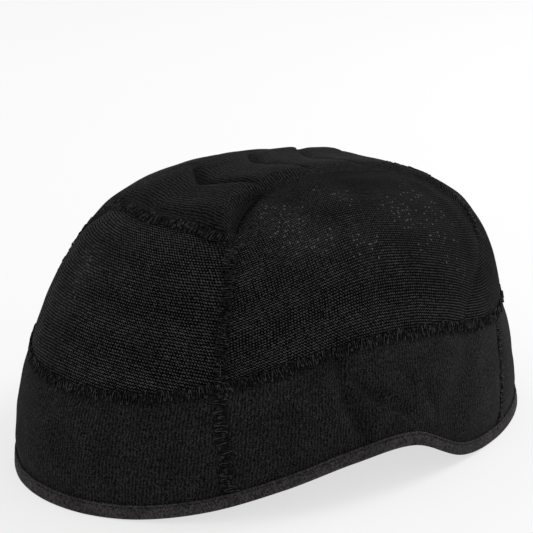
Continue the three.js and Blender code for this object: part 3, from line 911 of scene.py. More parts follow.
@dataclass(frozen=True)
class MeshPanel:
    """A knit mesh panel: rings that follow its outline in towards its middle."""

    name: str
    node: str
    edges: tuple[tuple[Callable[[Array], Array], int], ...]
    middle_turn: float
    wall: float = 1.0
    rings: int = 44
    wobble: float = 0.35
    row_sag: float = 0.0
    probe: float = 0.01
    least_clearing: float = 1e-4
    ring_crowding: float = 1.5
    open_span: tuple[float, float] = (1.0, 12.0)
    wobble_size: float = 34.0
    wobble_seed: int = 5
    # Painted shade is lessened beside the plain back seams: reach in mm, then share
    plain_reach: float = 5.0
    plain_shade: float = 0.7

    def outline(self) -> Array:
        """Places along the edges, anticlockwise as seen from outside."""
        parts = [along(np.linspace(0, 1, steps + 1)[:-1]) for along, steps in self.edges]
        return np.concatenate(parts)

    def plain_seams(self) -> list[Array]:
        """Places of the back corner seams, which carry no stitches outside."""
        left = SEAMS.back_corner(np.linspace(0, 1, 60))
        return [left, about_nape(left)[::-1]]

    def pinholes(self, points: Array) -> Array:
        """How thickly the painted light of the pinholes lies, where light shows through the mesh,
        from 0 to 1.
        """
        # Plan place and reach of each patch of painted pinhole light on the stretched mesh, in mm
        patches = (
            (30, -28, 6), (43, -27, 9), (49, -20, 6), (54, -8, 6), (48, 15, 9), (44, 30, 9),
            (53, 27, 8), (36, -2, 6), (-13, -72, 7), (-20, 52, 10), (22, 62, 9),
        )
        total = np.zeros(points.shape[:-1])
        for x, y, reach in patches:
            distance = np.hypot(points[..., 0] - x, points[..., 1] - y)
            total = np.maximum(total, np.exp(-((distance / reach) ** 2)))
        return total

    def cloth(self) -> Cloth:
        """Build the panel's cloth."""
        outline = self.outline()
        middle = (outline.min(axis=0) + outline.max(axis=0)) / 2
        rim = CROWN.point(outline[:, 0], outline[:, 1])
        inward = lerp(outline, middle, self.probe)
        step_in = CROWN.point(inward[:, 0], inward[:, 1]) - rim
        ahead = unit(np.roll(rim, -1, axis=0) - rim)
        behind = unit(rim - np.roll(rim, 1, axis=0))
        clearing = np.minimum(
            np.linalg.norm(np.cross(ahead, step_in), axis=1),
            np.linalg.norm(np.cross(behind, step_in), axis=1),
        )
        inset = SEWN.gap / 2 * self.probe / np.maximum(clearing, self.least_clearing)
        shares = (np.linspace(0, 1, self.rings) ** self.ring_crowding)[:, None]
        shares = lerp(inset[None, :], 1.0, shares)
        places = lerp(outline[None], middle, shares[..., None])
        turn, section = places[..., 0], places[..., 1]
        base = CROWN.point(turn, section)
        normal = CROWN.normal(turn, section)
        closed = np.concatenate([rim, rim[:1]])
        distance = seam_distance(base, [closed])
        band_section = CROWN.section_at_height(HEM.seam_height(turn))
        middle_turns = np.full_like(turn, self.middle_turn)
        along = CROWN.round_length(middle_turns, turn, section)
        up = CROWN.upward_length(turn, band_section, section)
        open_cloth = smooth_step(distance, *self.open_span)
        uneven = ripple(along, up, self.wobble_size, self.wobble_seed)
        wobble = self.wobble * uneven * open_cloth
        to_pad = seam_distance(base, pad_sides())
        soft = SEWN.soft_side(to_pad, base[..., 1])
        depth = SEWN.depth(distance) * (1 - SEWN.soft_depth * soft) - wobble
        depth = depth + SEWN.beside_pad(to_pad, base[..., 1])
        outer = base - normal * depth[..., None]
        inner = outer - normal * self.wall
        for sheet in (outer, inner):
            sheet[-1] = sheet[-1].mean(axis=0)
        weave = np.stack([along, up + self.row_sag * along**2], axis=-1)
        lines = [CROWN.point(*line.T) for line in self.plain_seams()]
        plain = np.exp(-((seam_distance(base, lines) / self.plain_reach) ** 2))
        # Painted shade along the stitched seams, lessened along the pad's long seams and beside the
        # plain back seams
        stitched = SEWN.shade(distance) * (1 - SEWN.soft_shade * soft)
        shade = stitched * (1 - self.plain_shade * plain)
        # The layers carry the painted light of the pinholes and the painted shade of the seams
        layers = {"pinholes": self.pinholes(base), "seam": shade}
        return disc_cloth(outer, inner, weave, layers)


@dataclass(frozen=True)
class TopPanel:
    """The padded strip over the crown, with chevron grooves between its pads."""

    wall: float = 2.2
    groove_depth: float = 2.6
    first_groove: float = -32.0
    groove_pitch: float = 24.5
    groove_sweep: float = 13.0
    groove_bend: float = 1.3
    groove_fade: float = 0.92
    sweeps: tuple[float, ...] = (1.0, 1.0, 0.9, 0.5)
    depths: tuple[float, ...] = (1.0, 0.85, 0.55, 0.5)
    shoulder: float = 1.6
    rear_hollow: float = 1.3
    blunt: float = 0.045
    soft_middle: float = 0.3
    blur_steps: int = 9
    roll: float = 5.0
    pad_steps: int = 40
    columns: int = 130
    crowding: float = 0.08
    tip_reach: float = 0.3
    fade_from: float = 0.62
    end_span: tuple[float, float] = (1.0, 6.0)
    # Places along the head, in mm, where the hollow sets in and where it partly fades again
    hollow_span: tuple[float, float] = (-20.0, 15.0)
    fading_span: tuple[float, float] = (22.0, 46.0)
    fading: float = 0.5
    shoulder_span: tuple[float, float] = (0.1, 0.8)
    roll_from: float = 0.2
    wobble: float = 0.25
    wobble_size: float = 26.0
    wobble_seed: int = 11
    wobble_span: tuple[float, float] = (1.0, 9.0)
    under_depth: float = 0.3
    # Painted shade in the grooves' channels: where it sets in and where it is full, as shares of
    # the groove's depth, then its share
    channel_span: tuple[float, float] = (0.12, 0.75)
    channel_shade: float = 0.9
    # Place along a pad from its front groove, and rise as a share of the groove's depth
    pad: tuple[tuple[float, float], ...] = (
        (0, -1), (0.03, -0.98), (0.07, -0.86), (0.12, -0.62), (0.17, -0.38), (0.24, -0.17),
        (0.34, -0.04), (0.6, 0.05), (0.75, 0.09), (0.86, 0.11), (0.92, 0.08), (0.955, -0.1),
        (0.98, -0.58), (1, -1),
    )

    def cloth(self) -> Cloth:
        """Build the panel's cloth."""
        ends = [(-SEAMS.top_front - SEAMS.top_front_bow, SEAMS.top_front_bow)]
        for groove, sweep in enumerate(self.sweeps):
            ends.append((self.first_groove + groove * self.groove_pitch, sweep * self.groove_sweep))
        ends.append((SEAMS.top_back + SEAMS.top_back_bow, -SEAMS.top_back_bow))
        stations = np.linspace(0, len(ends) - 1, (len(ends) - 1) * self.pad_steps + 1)
        pads = np.minimum(stations.astype(int), len(ends) - 2)
        part = stations - pads
        known = np.array(ends)
        line = lerp(known[pads], known[pads + 1], part[:, None])
        table = np.array(self.pad)
        share = lerp(*(np.array([1.0, *self.depths, 1.0])[pads + step] for step in (0, 1)), part)
        rise = self.groove_depth * share * np.interp(part, table[:, 0], table[:, 1])
        across = lerp(-1.0, 1.0, crowded(self.columns, self.crowding))
        centre, sweep = line[:, :1], line[:, 1:]
        along_side = centre + sweep
        inset = 1 - SEWN.gap / SEAMS.top_half_width(along_side)
        x = across * SEAMS.top_half_width(along_side) * inset
        sharp = np.abs(across)
        whole_tip = math.hypot(1, self.blunt) - self.blunt
        round_tip = (np.hypot(across, self.blunt) - self.blunt) / whole_tip
        from_end = np.minimum(stations, stations[-1] - stations)[:, None]
        tip = lerp(sharp, round_tip, smooth_step(from_end, 0, self.tip_reach))
        y = centre + sweep * tip**self.groove_bend
        y = np.clip(y, centre[0] + SEWN.gap, centre[-1] - SEWN.gap)
        turn, section = CROWN.place_in_plan(x, y)
        base = CROWN.point(turn, section)
        normal = CROWN.normal(turn, section)
        fine = np.linspace(0, 1, 200)
        lines = pad_sides()
        for back in (False, True):
            end = SEAMS.top_end(lerp(-1.0, 1.0, fine), back)
            lines.append(CROWN.point(end[:, 0], end[:, 1]))
        distance = seam_distance(base, lines)
        to_sides, to_ends = (seam_distance(base, pair) for pair in (lines[:2], lines[2:]))
        fade = 1 - self.groove_fade * smooth_step(np.abs(across), self.fade_from, 1.0)
        clear_of_ends = smooth_step(to_ends, *self.end_span)
        groove = rise[:, None] * np.where(rise[:, None] < 0, fade * clear_of_ends, 1)
        faded = 1 - self.fading * smooth_step(base[..., 1], *self.fading_span)
        hollow = self.rear_hollow * (smooth_step(base[..., 1], *self.hollow_span) * faded)
        shoulder = self.shoulder * smooth_step(np.abs(across), *self.shoulder_span) - hollow
        rolled = smooth_step(distance, self.roll_from, self.roll)
        soft = SEWN.soft_side(to_sides, base[..., 1])
        depth = SEWN.depth(distance) * (1 - SEWN.soft_depth * soft)
        depth = depth - (groove + shoulder) * rolled
        depth = depth + SEWN.beside_pad(to_sides, base[..., 1]) * (1 - rolled)
        run_across = np.linalg.norm(np.diff(base, axis=1), axis=-1).cumsum(axis=1)
        run_across = np.pad(run_across, ((0, 0), (1, 0)))
        run_across -= run_across[:, self.columns // 2:self.columns // 2 + 1]
        run_along = np.linalg.norm(np.diff(base, axis=0), axis=-1).cumsum(axis=0)
        run_along = np.pad(run_along, ((1, 0), (0, 0)))
        uneven = ripple(run_across, run_along, self.wobble_size, self.wobble_seed)
        depth = depth - self.wobble * uneven * smooth_step(distance, *self.wobble_span)
        shifts = range(-self.blur_steps, self.blur_steps + 1)
        blurred = sum(np.roll(depth, shift, axis=1) for shift in shifts) / len(shifts)
        depth = lerp(depth, blurred, np.exp(-((across / self.soft_middle) ** 2)))
        outer = base - normal * depth[..., None]
        inner = base - normal * (self.wall + self.under_depth)
        weave = np.stack([run_across, run_along], axis=-1)
        # Painted shade along the seams and in the grooves' channels
        channel = smooth_step(-groove / self.groove_depth, *self.channel_span)
        shade = SEWN.shade(distance) * (1 - SEWN.soft_shade * soft)
        shade = np.maximum(shade, channel * self.channel_shade)
        return grid_cloth(outer, inner, weave, {"seam": shade})


@dataclass(frozen=True)
class Fold:
    """A crease of the band: ends as turn in degrees and share up the band, then depth and reach."""

    from_turn: float
    from_share: float
    to_turn: float
    to_share: float
    depth: float
    reach: float = 4.5


@dataclass(frozen=True)
class Band:
    """The ribbed fleece band: four pieces that tuck under the binding and bulge above it."""

    wall: float = 2.0
    binding_wall: float = 0.8
    binding_height: float = 5.0
    slot: float = 0.3
    bulge_reach: float = 7.0
    rows: int = 72
    wobble: float = 0.4
    wobble_size: float = 30.0
    wobble_seed: int = 23
    open_span: tuple[float, float] = (1.0, 8.0)
    row_crowding: float = 0.08
    column_crowding: float = 0.05
    # Painted shade in the folds: its share at the deepest fold, and how it falls off on shallower
    # folds
    crease_shade: float = 0.75
    crease_power: float = 1.5
    # From and to, each as degrees and share up the band, then depth and reach
    folds: tuple[Fold, ...] = (
        Fold(70.5, 0.98, 73, 0.6, 1.6, 2.6),
        Fold(73, 0.6, 79, 0.1, 2.3, 3.2),
        Fold(75, 0.72, 81.5, 0.48, 1.7, 2.4),
        Fold(81.5, 0.48, 88, 0.3, 1.3, 2.2),
        Fold(109, 0.9, 99, 0.25, 0.8, 5.2),
        Fold(93, 0.5, 97, 0.2, 0.6, 3.0),
    )

    def stride(self, turn: Array) -> Array:
        """Length along the hem for each radian of turn."""
        side, long = CROWN.reach(np.zeros_like(turn), -np.cos(turn))
        return np.hypot(side * np.cos(turn), long * np.sin(turn))

    def crease(self, turn: Array, share: Array) -> Array:
        """Depth of the deepest fold at each place."""
        from_forehead = np.arccos(np.cos(turn))
        stride = self.stride(turn)
        deepest = np.zeros_like(turn)
        for fold in self.folds:
            x1, x2 = (math.radians(value) * stride for value in (fold.from_turn, fold.to_turn))
            y1, y2 = (value * HEM.band_height for value in (fold.from_share, fold.to_share))
            dx, dy = x2 - x1, y2 - y1
            ax, ay = from_forehead * stride - x1, share * HEM.band_height - y1
            near = np.clip((ax * dx + ay * dy) / (dx * dx + dy * dy), 0, 1)
            distance = np.hypot(ax - near * dx, ay - near * dy)
            deepest = np.maximum(deepest, fold.depth * np.exp(-((distance / fold.reach) ** 2)))
        return deepest

    def depth(self, turn: Array, height: Array, share: Array, first: Array, last: Array) -> Array:
        """How far the outer face lies inside the crown's surface."""
        above = height - HEM.height(turn)
        clear = smooth_step(above, self.binding_height, self.binding_height + self.bulge_reach)
        tuck = (self.binding_wall + self.slot) * (1 - clear)
        to_side = np.minimum(turn - first, last - turn) * self.stride(turn)
        to_top = HEM.seam_height(turn) - height
        dip = np.maximum(SEWN.depth(to_side) * clear, SEWN.depth(to_top))
        open_cloth = clear * smooth_step(to_top, *self.open_span)
        along = turn * self.stride(turn)
        uneven = ripple(along, height, self.wobble_size, self.wobble_seed)
        wobble = self.wobble * uneven * open_cloth
        return tuck + dip + self.crease(turn, share) * clear - wobble

    def inside(self, turn: Array, height: Array, depth: Array, square: Array) -> Array:
        """Point inside the crown's surface, level at the hem and square to it at the seam."""
        section = CROWN.section_at_height(height)
        normal = CROWN.normal(turn, section)
        level = unit(normal * np.array([1.0, 1.0, 0.0]))
        direction = unit(lerp(level, normal, square[..., None]))
        return CROWN.point(turn, section) - direction * depth[..., None]

    def cloth(self, first: tuple[float, float], last: tuple[float, float], columns: int) -> Cloth:
        """Build one piece of the band.

        Args:
            first: turn of its first side seam at the foot and the head.
            last: turn of its last side seam at the foot and the head.
            columns: how many steps it has from seam to seam.

        Returns:
            The piece's cloth.
        """
        foot = self.binding_wall + self.slot
        over = self.binding_height + self.slot
        square = np.concatenate([[0.0, 0.0], crowded(self.rows, self.row_crowding)])[:, None]
        start = lerp(first[0], first[1], square)
        end = lerp(last[0], last[1], square)
        across = crowded(columns, self.column_crowding)[None, :]
        inset = SEWN.gap / 2 / self.stride(lerp(start, end, across))
        turn = lerp(start + inset, end - inset, across)
        square = np.broadcast_to(square, turn.shape)
        whole = HEM.seam_height(turn) - SEWN.gap / 2 - HEM.height(turn)
        up = lerp(over, whole, square)
        up[0], up[1] = foot, (foot + over) / 2
        height = HEM.height(turn) + up
        depth = self.depth(turn, height, up / whole, start, end)
        outer = self.inside(turn, height, depth, square)
        inner = self.inside(turn, height, depth + self.wall, square)
        along = CROWN.round_length(np.full_like(turn, first[0]), turn, np.zeros_like(turn))
        to_side = np.minimum(turn - start, end - turn) * self.stride(turn)
        distance = np.minimum(to_side, HEM.seam_height(turn) - height)
        # Painted shade along the seams and in the folds
        creased = self.crease(turn, up / whole) / max(fold.depth for fold in self.folds)
        shade = np.maximum(SEWN.shade(distance), self.crease_shade * creased**self.crease_power)
        return grid_cloth(outer, inner, np.stack([along, height], axis=-1), {"seam": shade})


BAND = Band()


@dataclass(frozen=True)
class Binding:
    """Tape folded over the band's lower edge: a loop of U section with soft corners."""

    height: float = 5.0
    wall: float = 0.8
    steps: int = 720
    stitch_line: float = 4.1
    stitch_depth: float = 0.26
    pucker: float = 0.1
    pucker_size: float = 9.0
    pucker_squeeze: float = 0.3
    pucker_seed: int = 31
    pucker_span: tuple[float, float] = (1.0, 3.0)

    def section(self) -> Array:
        """Outline of the tape as height and depth, round from the middle of its underside."""
        whole = 2 * self.wall + BAND.wall + 2 * BAND.slot
        # Each row is height above the hem and depth inside the crown's surface
        outer = [
            (0.0, 1.3), (0.0, 0.8), (0.12, 0.42), (0.4, 0.16), (0.8, 0.03), (1.6, 0.0),
            (2.6, 0.0), (3.4, 0.05), (3.9, 0.2), (4.1, 0.26), (4.3, 0.2), (4.6, 0.06),
            (4.85, 0.08), (4.98, 0.25), (5.0, 0.55),
        ]
        fold = [(4.9, self.wall), (self.wall, self.wall), (self.wall, whole - self.wall)]
        inner = [
            (4.9, whole - self.wall), (5.0, whole - 0.55), (4.98, whole - 0.25),
            (4.6, whole - 0.05), (2.6, whole), (0.8, whole - 0.03), (0.4, whole - 0.16),
            (0.12, whole - 0.42), (0.0, whole - 0.8), (0.0, whole - 1.3),
        ]
        return np.array(outer + fold + inner)

    def cloth(self) -> Cloth:
        """Build the tape."""
        section = self.section()
        turn = np.linspace(0, 2 * np.pi, self.steps, endpoint=False)[:, None]
        up = np.broadcast_to(section[:, 0], (self.steps, len(section)))
        depth = np.broadcast_to(section[:, 1], up.shape)
        turns = np.broadcast_to(turn, up.shape)
        along = CROWN.round_length(np.zeros_like(turns), turns, np.zeros_like(turns))
        uneven = ripple(along, up * self.pucker_squeeze, self.pucker_size, self.pucker_seed)
        puckers = self.pucker * uneven * smooth_step(up, *self.pucker_span)
        depth = depth + np.where(depth < 1, puckers + self.pucker, 0)
        height = HEM.height(turns) + up
        points = BAND.inside(turns, height, depth, np.zeros_like(turns))
        grid = np.arange(points.shape[0] * points.shape[1]).reshape(points.shape[:2])
        beside = np.roll(grid, -1, axis=1)
        onward = np.roll(grid, -1, axis=0)
        both = np.roll(onward, -1, axis=1)
        faces = np.stack([grid, beside, both, onward], -1).reshape(-1, 4).tolist()
        run = np.concatenate([[0], np.hypot(*np.diff(section, axis=0).T).cumsum()])
        weave = np.stack([along, np.broadcast_to(run, up.shape)], axis=-1).reshape(-1, 2)
        return Cloth(points.reshape(-1, 3), [tuple(face) for face in faces], weave)


BINDING = Binding()


# Stitches


class StitchKind(Enum):
    """How the thread of a seam runs."""

    ZIGZAG = "zigzag"
    RUNNING = "running"


@dataclass(frozen=True)
class StitchPath:
    """Line that a seam follows: points with the directions across and out of the cloth."""

    points: Array
    across: Array
    out: Array


@dataclass(frozen=True)
class Stitching:
    """One kind of stitch, laid along paths by Geometry Nodes."""

    name: str
    kind: StitchKind
    pitch: float
    half_width: float
    radius: float
    lift: float
    jitter: float = 0.12
    seed: int = 7
    turn_radius: float = 1.6
    turn_points: int = 2
    thread_sides: int = 6
    bead_sides: int = 8
    bead_rings: int = 5
    bead_length: float = 0.36

    def tree(self, material: bpy.types.Material) -> bpy.types.NodeTree:
        """Build the node tree that turns a path into thread.

        Args:
            material: the thread's finish.

        Returns:
            The tree, with inputs Pitch, Half Width, Radius, Lift, Jitter and Seed.
        """
        tree = bpy.data.node_groups.new(self.name, "GeometryNodeTree")
        face = tree.interface
        face.new_socket("Geometry", in_out="INPUT", socket_type="NodeSocketGeometry")
        for name in ("Pitch", "Half Width", "Radius", "Lift", "Jitter"):
            face.new_socket(name, in_out="INPUT", socket_type="NodeSocketFloat")
        face.new_socket("Seed", in_out="INPUT", socket_type="NodeSocketInt")
        face.new_socket("Geometry", in_out="OUTPUT", socket_type="NodeSocketGeometry")
        given = add_node(tree, "NodeGroupInput").outputs
        curve = add_node(tree, "GeometryNodeMeshToCurve", {"Mesh": given["Geometry"]})
        across, out = (
            add_node(
                tree, "GeometryNodeInputNamedAttribute", {"Name": name}, data_type="FLOAT_VECTOR"
            ).outputs["Attribute"]
            for name in ("across", "out")
        )
        noise = add_node(
            tree,
            "FunctionNodeRandomValue",
            {"Min": (-1.0, -1.0, -1.0), "Max": (1.0, 1.0, 1.0), "Seed": given["Seed"]},
            data_type="FLOAT_VECTOR",
        )
        shake = add_node(tree, VECTOR, {0: noise, "Scale": given["Jitter"]}, operation="SCALE")
        raised = add_node(tree, VECTOR, {0: out, "Scale": given["Lift"]}, operation="SCALE")
        run = self.zigzag if self.kind is StitchKind.ZIGZAG else self.running
        thread = run(tree, given, curve, across, raised, shake)
        smooth = add_node(tree, "GeometryNodeSetShadeSmooth", {"Geometry": thread})
        real = add_node(tree, "GeometryNodeRealizeInstances", {"Geometry": smooth})
        links = {"Geometry": real, "Material": material}
        painted = add_node(tree, "GeometryNodeSetMaterial", links)
        add_node(tree, "NodeGroupOutput", {"Geometry": painted})
        return tree

    def zigzag(
        self,
        tree: bpy.types.NodeTree,
        given: bpy.types.NodeOutputs,
        curve: Source,
        across: Source,
        raised: Source,
        shake: Source,
    ) -> Source:
        """Thread that goes from one side of the seam to the other at each half pitch."""
        half = add_node(tree, MATH, [given["Pitch"], 0.5], operation="MULTIPLY")
        links = {"Curve": curve, "Length": half}
        evenly = add_node(tree, "GeometryNodeResampleCurve", links, mode="LENGTH")
        index = add_node(tree, "GeometryNodeInputIndex")
        odd = add_node(tree, MATH, [index, 2.0], operation="MODULO")
        side = add_node(tree, MATH, [odd, 2.0, -1.0], operation="MULTIPLY_ADD")
        reach = add_node(tree, MATH, [side, given["Half Width"]], operation="MULTIPLY")
        swing = add_node(tree, VECTOR, {0: across, "Scale": reach}, operation="SCALE")
        lifted = add_node(tree, VECTOR, [swing, raised])
        offset = add_node(tree, VECTOR, [lifted, shake])
        moved = add_node(tree, "GeometryNodeSetPosition", {"Geometry": evenly, "Offset": offset})
        radius = add_node(tree, MATH, [given["Radius"], self.turn_radius], operation="MULTIPLY")
        links = {"Curve": moved, "Radius": radius, "Count": self.turn_points}
        rounded = add_node(tree, "GeometryNodeFilletCurve", links, mode="POLY")
        links = {"Resolution": self.thread_sides, "Radius": given["Radius"]}
        ring = add_node(tree, "GeometryNodeCurvePrimitiveCircle", links)
        links = {"Curve": rounded, "Profile Curve": ring, "Fill Caps": True}
        return add_node(tree, "GeometryNodeCurveToMesh", links)

    def running(
        self,
        tree: bpy.types.NodeTree,
        given: bpy.types.NodeOutputs,
        curve: Source,
        across: Source,
        raised: Source,
        shake: Source,
    ) -> Source:
        """Short stitches end to end along the seam, on one side of it."""
        links = {0: across, "Scale": given["Half Width"]}
        swing = add_node(tree, VECTOR, links, operation="SCALE")
        offset = add_node(tree, VECTOR, [swing, raised])
        moved = add_node(tree, "GeometryNodeSetPosition", {"Geometry": curve, "Offset": offset})
        links = {"Curve": moved, "Length": given["Pitch"]}
        spots = add_node(tree, "GeometryNodeCurveToPoints", links, mode="LENGTH").outputs
        links = {"Segments": self.bead_sides, "Rings": self.bead_rings, "Radius": 1.0}
        bead = add_node(tree, "GeometryNodeMeshUVSphere", links).outputs["Mesh"]
        long = add_node(tree, MATH, [given["Pitch"], self.bead_length], operation="MULTIPLY")
        size = add_node(tree, "ShaderNodeCombineXYZ", [given["Radius"], given["Radius"], long])
        links = {
            "Points": spots["Points"],
            "Instance": bead,
            "Rotation": spots["Rotation"],
            "Scale": size,
        }
        return add_node(tree, "GeometryNodeInstanceOnPoints", links)

    def lay(self, paths: Sequence[StitchPath], material: bpy.types.Material) -> bpy.types.Object:
        """Lay the stitches along paths.

        Args:
            paths: the seams' lines, in mm.
            material: the thread's finish.

        Returns:
            One plain object with all the thread.
        """
        mesh = bpy.data.meshes.new(f"{self.name}_path")
        points = np.concatenate([path.points for path in paths])
        edges, first = [], 0
        for path in paths:
            count = len(path.points)
            edges.extend((first + step, first + step + 1) for step in range(count - 1))
            first += count
        mesh.from_pydata(((points + ORIGIN_SHIFT) * MILLIMETRE).tolist(), edges, [])
        for layer in ("across", "out"):
            values = np.concatenate([getattr(path, layer) for path in paths])
            attribute = mesh.attributes.new(layer, "FLOAT_VECTOR", "POINT")
            attribute.data.foreach_set("vector", values.astype(np.float32).ravel())
        guide = bpy.data.objects.new(f"{self.name}_path", mesh)
        bpy.context.scene.collection.objects.link(guide)
        tree = self.tree(material)
        modifier = guide.modifiers.new(self.name, "NODES")
        modifier.node_group = tree
        sizes = {
            "Pitch": self.pitch * MILLIMETRE,
            "Half Width": self.half_width * MILLIMETRE,
            "Radius": self.radius * MILLIMETRE,
            "Lift": self.lift * MILLIMETRE,
            "Jitter": self.jitter * MILLIMETRE,
            "Seed": self.seed,
        }
        for socket in tree.interface.items_tree:
            if socket.name in sizes:
                modifier[socket.identifier] = sizes[socket.name]
        graph = bpy.context.evaluated_depsgraph_get()
        made = bpy.data.meshes.new_from_object(guide.evaluated_get(graph))
        made.name = self.name
        for layer in ("across", "out"):
            if layer in made.attributes:
                made.attributes.remove(made.attributes[layer])
        bpy.data.objects.remove(guide)
        piece = bpy.data.objects.new(self.name, made)
        bpy.context.scene.collection.objects.link(piece)
        return piece


def path_on_crown(places: Array, depth: Array | float) -> StitchPath:
    """Stitch path along places of the crown, a depth below its surface."""
    points = CROWN.point(places[:, 0], places[:, 1])
    normal = CROWN.normal(places[:, 0], places[:, 1])
    ahead = unit(np.gradient(points, axis=0))
    deep = np.broadcast_to(np.asarray(depth, dtype=float), (len(points),))
    return StitchPath(points - normal * deep[:, None], unit(np.cross(normal, ahead)), normal)


@dataclass(frozen=True)
class SeamWork:
    """The cap's stitched seams: flatlock over the panels' joins, and a line on the binding."""

    cover: Stitching = Stitching(
        "cover_stitches", StitchKind.ZIGZAG, 1.7, 4.1, 0.16, 0.24, jitter=0.42
    )
    under: Stitching = Stitching(
        "under_stitches", StitchKind.ZIGZAG, 1.9, -3.9, 0.17, 0.18, jitter=0.42, seed=3
    )
    edge: Stitching = Stitching("edge_stitches", StitchKind.ZIGZAG, 2.1, 1.5, 0.13, 0.0, seed=5)
    band: Stitching = Stitching(
        "band_stitches", StitchKind.ZIGZAG, 1.8, 3.3, 0.16, 0.24, jitter=0.42, seed=9
    )
    crossing: Stitching = Stitching(
        "crossing_stitches", StitchKind.ZIGZAG, 2.1, -3.1, 0.17, 0.18, jitter=0.42, seed=12
    )
    hem_line: Stitching = Stitching("hem_stitches", StitchKind.RUNNING, 2.4, 0.0, 0.15, -0.1)
    dense: int = 220
    depth: float = 0.45

    def upright(self, foot: float, head: float) -> StitchPath:
        """Path of a side seam of the band."""
        square = np.linspace(0.0, 1.0, 60)
        turn = lerp(foot, head, square)
        whole = HEM.seam_height(turn) - HEM.height(turn)
        up = lerp(BAND.binding_height + 0.6, whole, square)
        height = HEM.height(turn) + up
        first = turn - 2.2 / BAND.stride(turn)
        depth = BAND.depth(turn, height, up / whole, first, turn + 1.0)
        points = BAND.inside(turn, height, depth, square)
        normal = CROWN.normal(turn, CROWN.section_at_height(height))
        ahead = unit(np.gradient(points, axis=0))
        return StitchPath(points, unit(np.cross(normal, ahead)), normal)

    def corner_paths(self) -> list[StitchPath]:
        """Paths of the front corner seams, the top panel's ends and the band's side seams."""
        short = np.linspace(0, 1, 70)
        front = SEAMS.front_corner(short)
        lines = [front, about_forehead(front)]
        for is_back in (False, True):
            lines.append(SEAMS.top_end(np.linspace(-1, 1, 120), is_back))
        made = [path_on_crown(places, self.depth) for places in lines]
        for foot, head in (
            (SEAMS.band_front_foot, SEAMS.band_front_head),
            (SEAMS.band_back_foot, SEAMS.band_back_head),
        ):
            made.append(self.upright(foot, head))
            made.append(self.upright(-foot, -head))
        return made

    def side_paths(self) -> list[StitchPath]:
        """Paths of the top panel's long seams."""
        side = SEAMS.top_side(np.linspace(0, 1, self.dense))
        made = []
        for places in (side, about_forehead(side)):
            y = CROWN.point(places[:, 0], places[:, 1])[:, 1]
            sunk = SEWN.beside_pad(np.full_like(y, 1.0), y)
            made.append(path_on_crown(places, self.depth + sunk))
        return made

    def band_path(self) -> list[StitchPath]:
        """Path of the seam over the band, all round the head."""
        turn = np.linspace(0, 2 * np.pi, 2 * self.dense)
        return [path_on_crown(SEAMS.over_band(turn), self.depth)]

    def hem_path(self) -> StitchPath:
        """Path of the line of stitches near the top of the binding."""
        turn = np.linspace(0, 2 * np.pi, 721)
        height = HEM.height(turn) + BINDING.stitch_line
        square = np.zeros_like(turn)
        points = BAND.inside(turn, height, square + BINDING.stitch_depth, square)
        normal = CROWN.normal(turn, CROWN.section_at_height(height))
        level = unit(normal * np.array([1.0, 1.0, 0.0]))
        return StitchPath(points, np.tile([0.0, 0.0, 1.0], (len(turn), 1)), level)

    def build(self) -> list[bpy.types.Object]:
        """Lay every stitch."""
        seam_thread, edge_thread = SEAM_THREAD.material(), EDGE_THREAD.material()
        return [
            self.cover.lay(self.corner_paths(), seam_thread),
            self.under.lay(self.corner_paths(), edge_thread),
            self.edge.lay(self.side_paths(), edge_thread),
            self.band.lay(self.band_path(), seam_thread),
            self.crossing.lay(self.band_path(), edge_thread),
            self.hem_line.lay([self.hem_path()], HEM_THREAD.material()),
        ]


# Studio


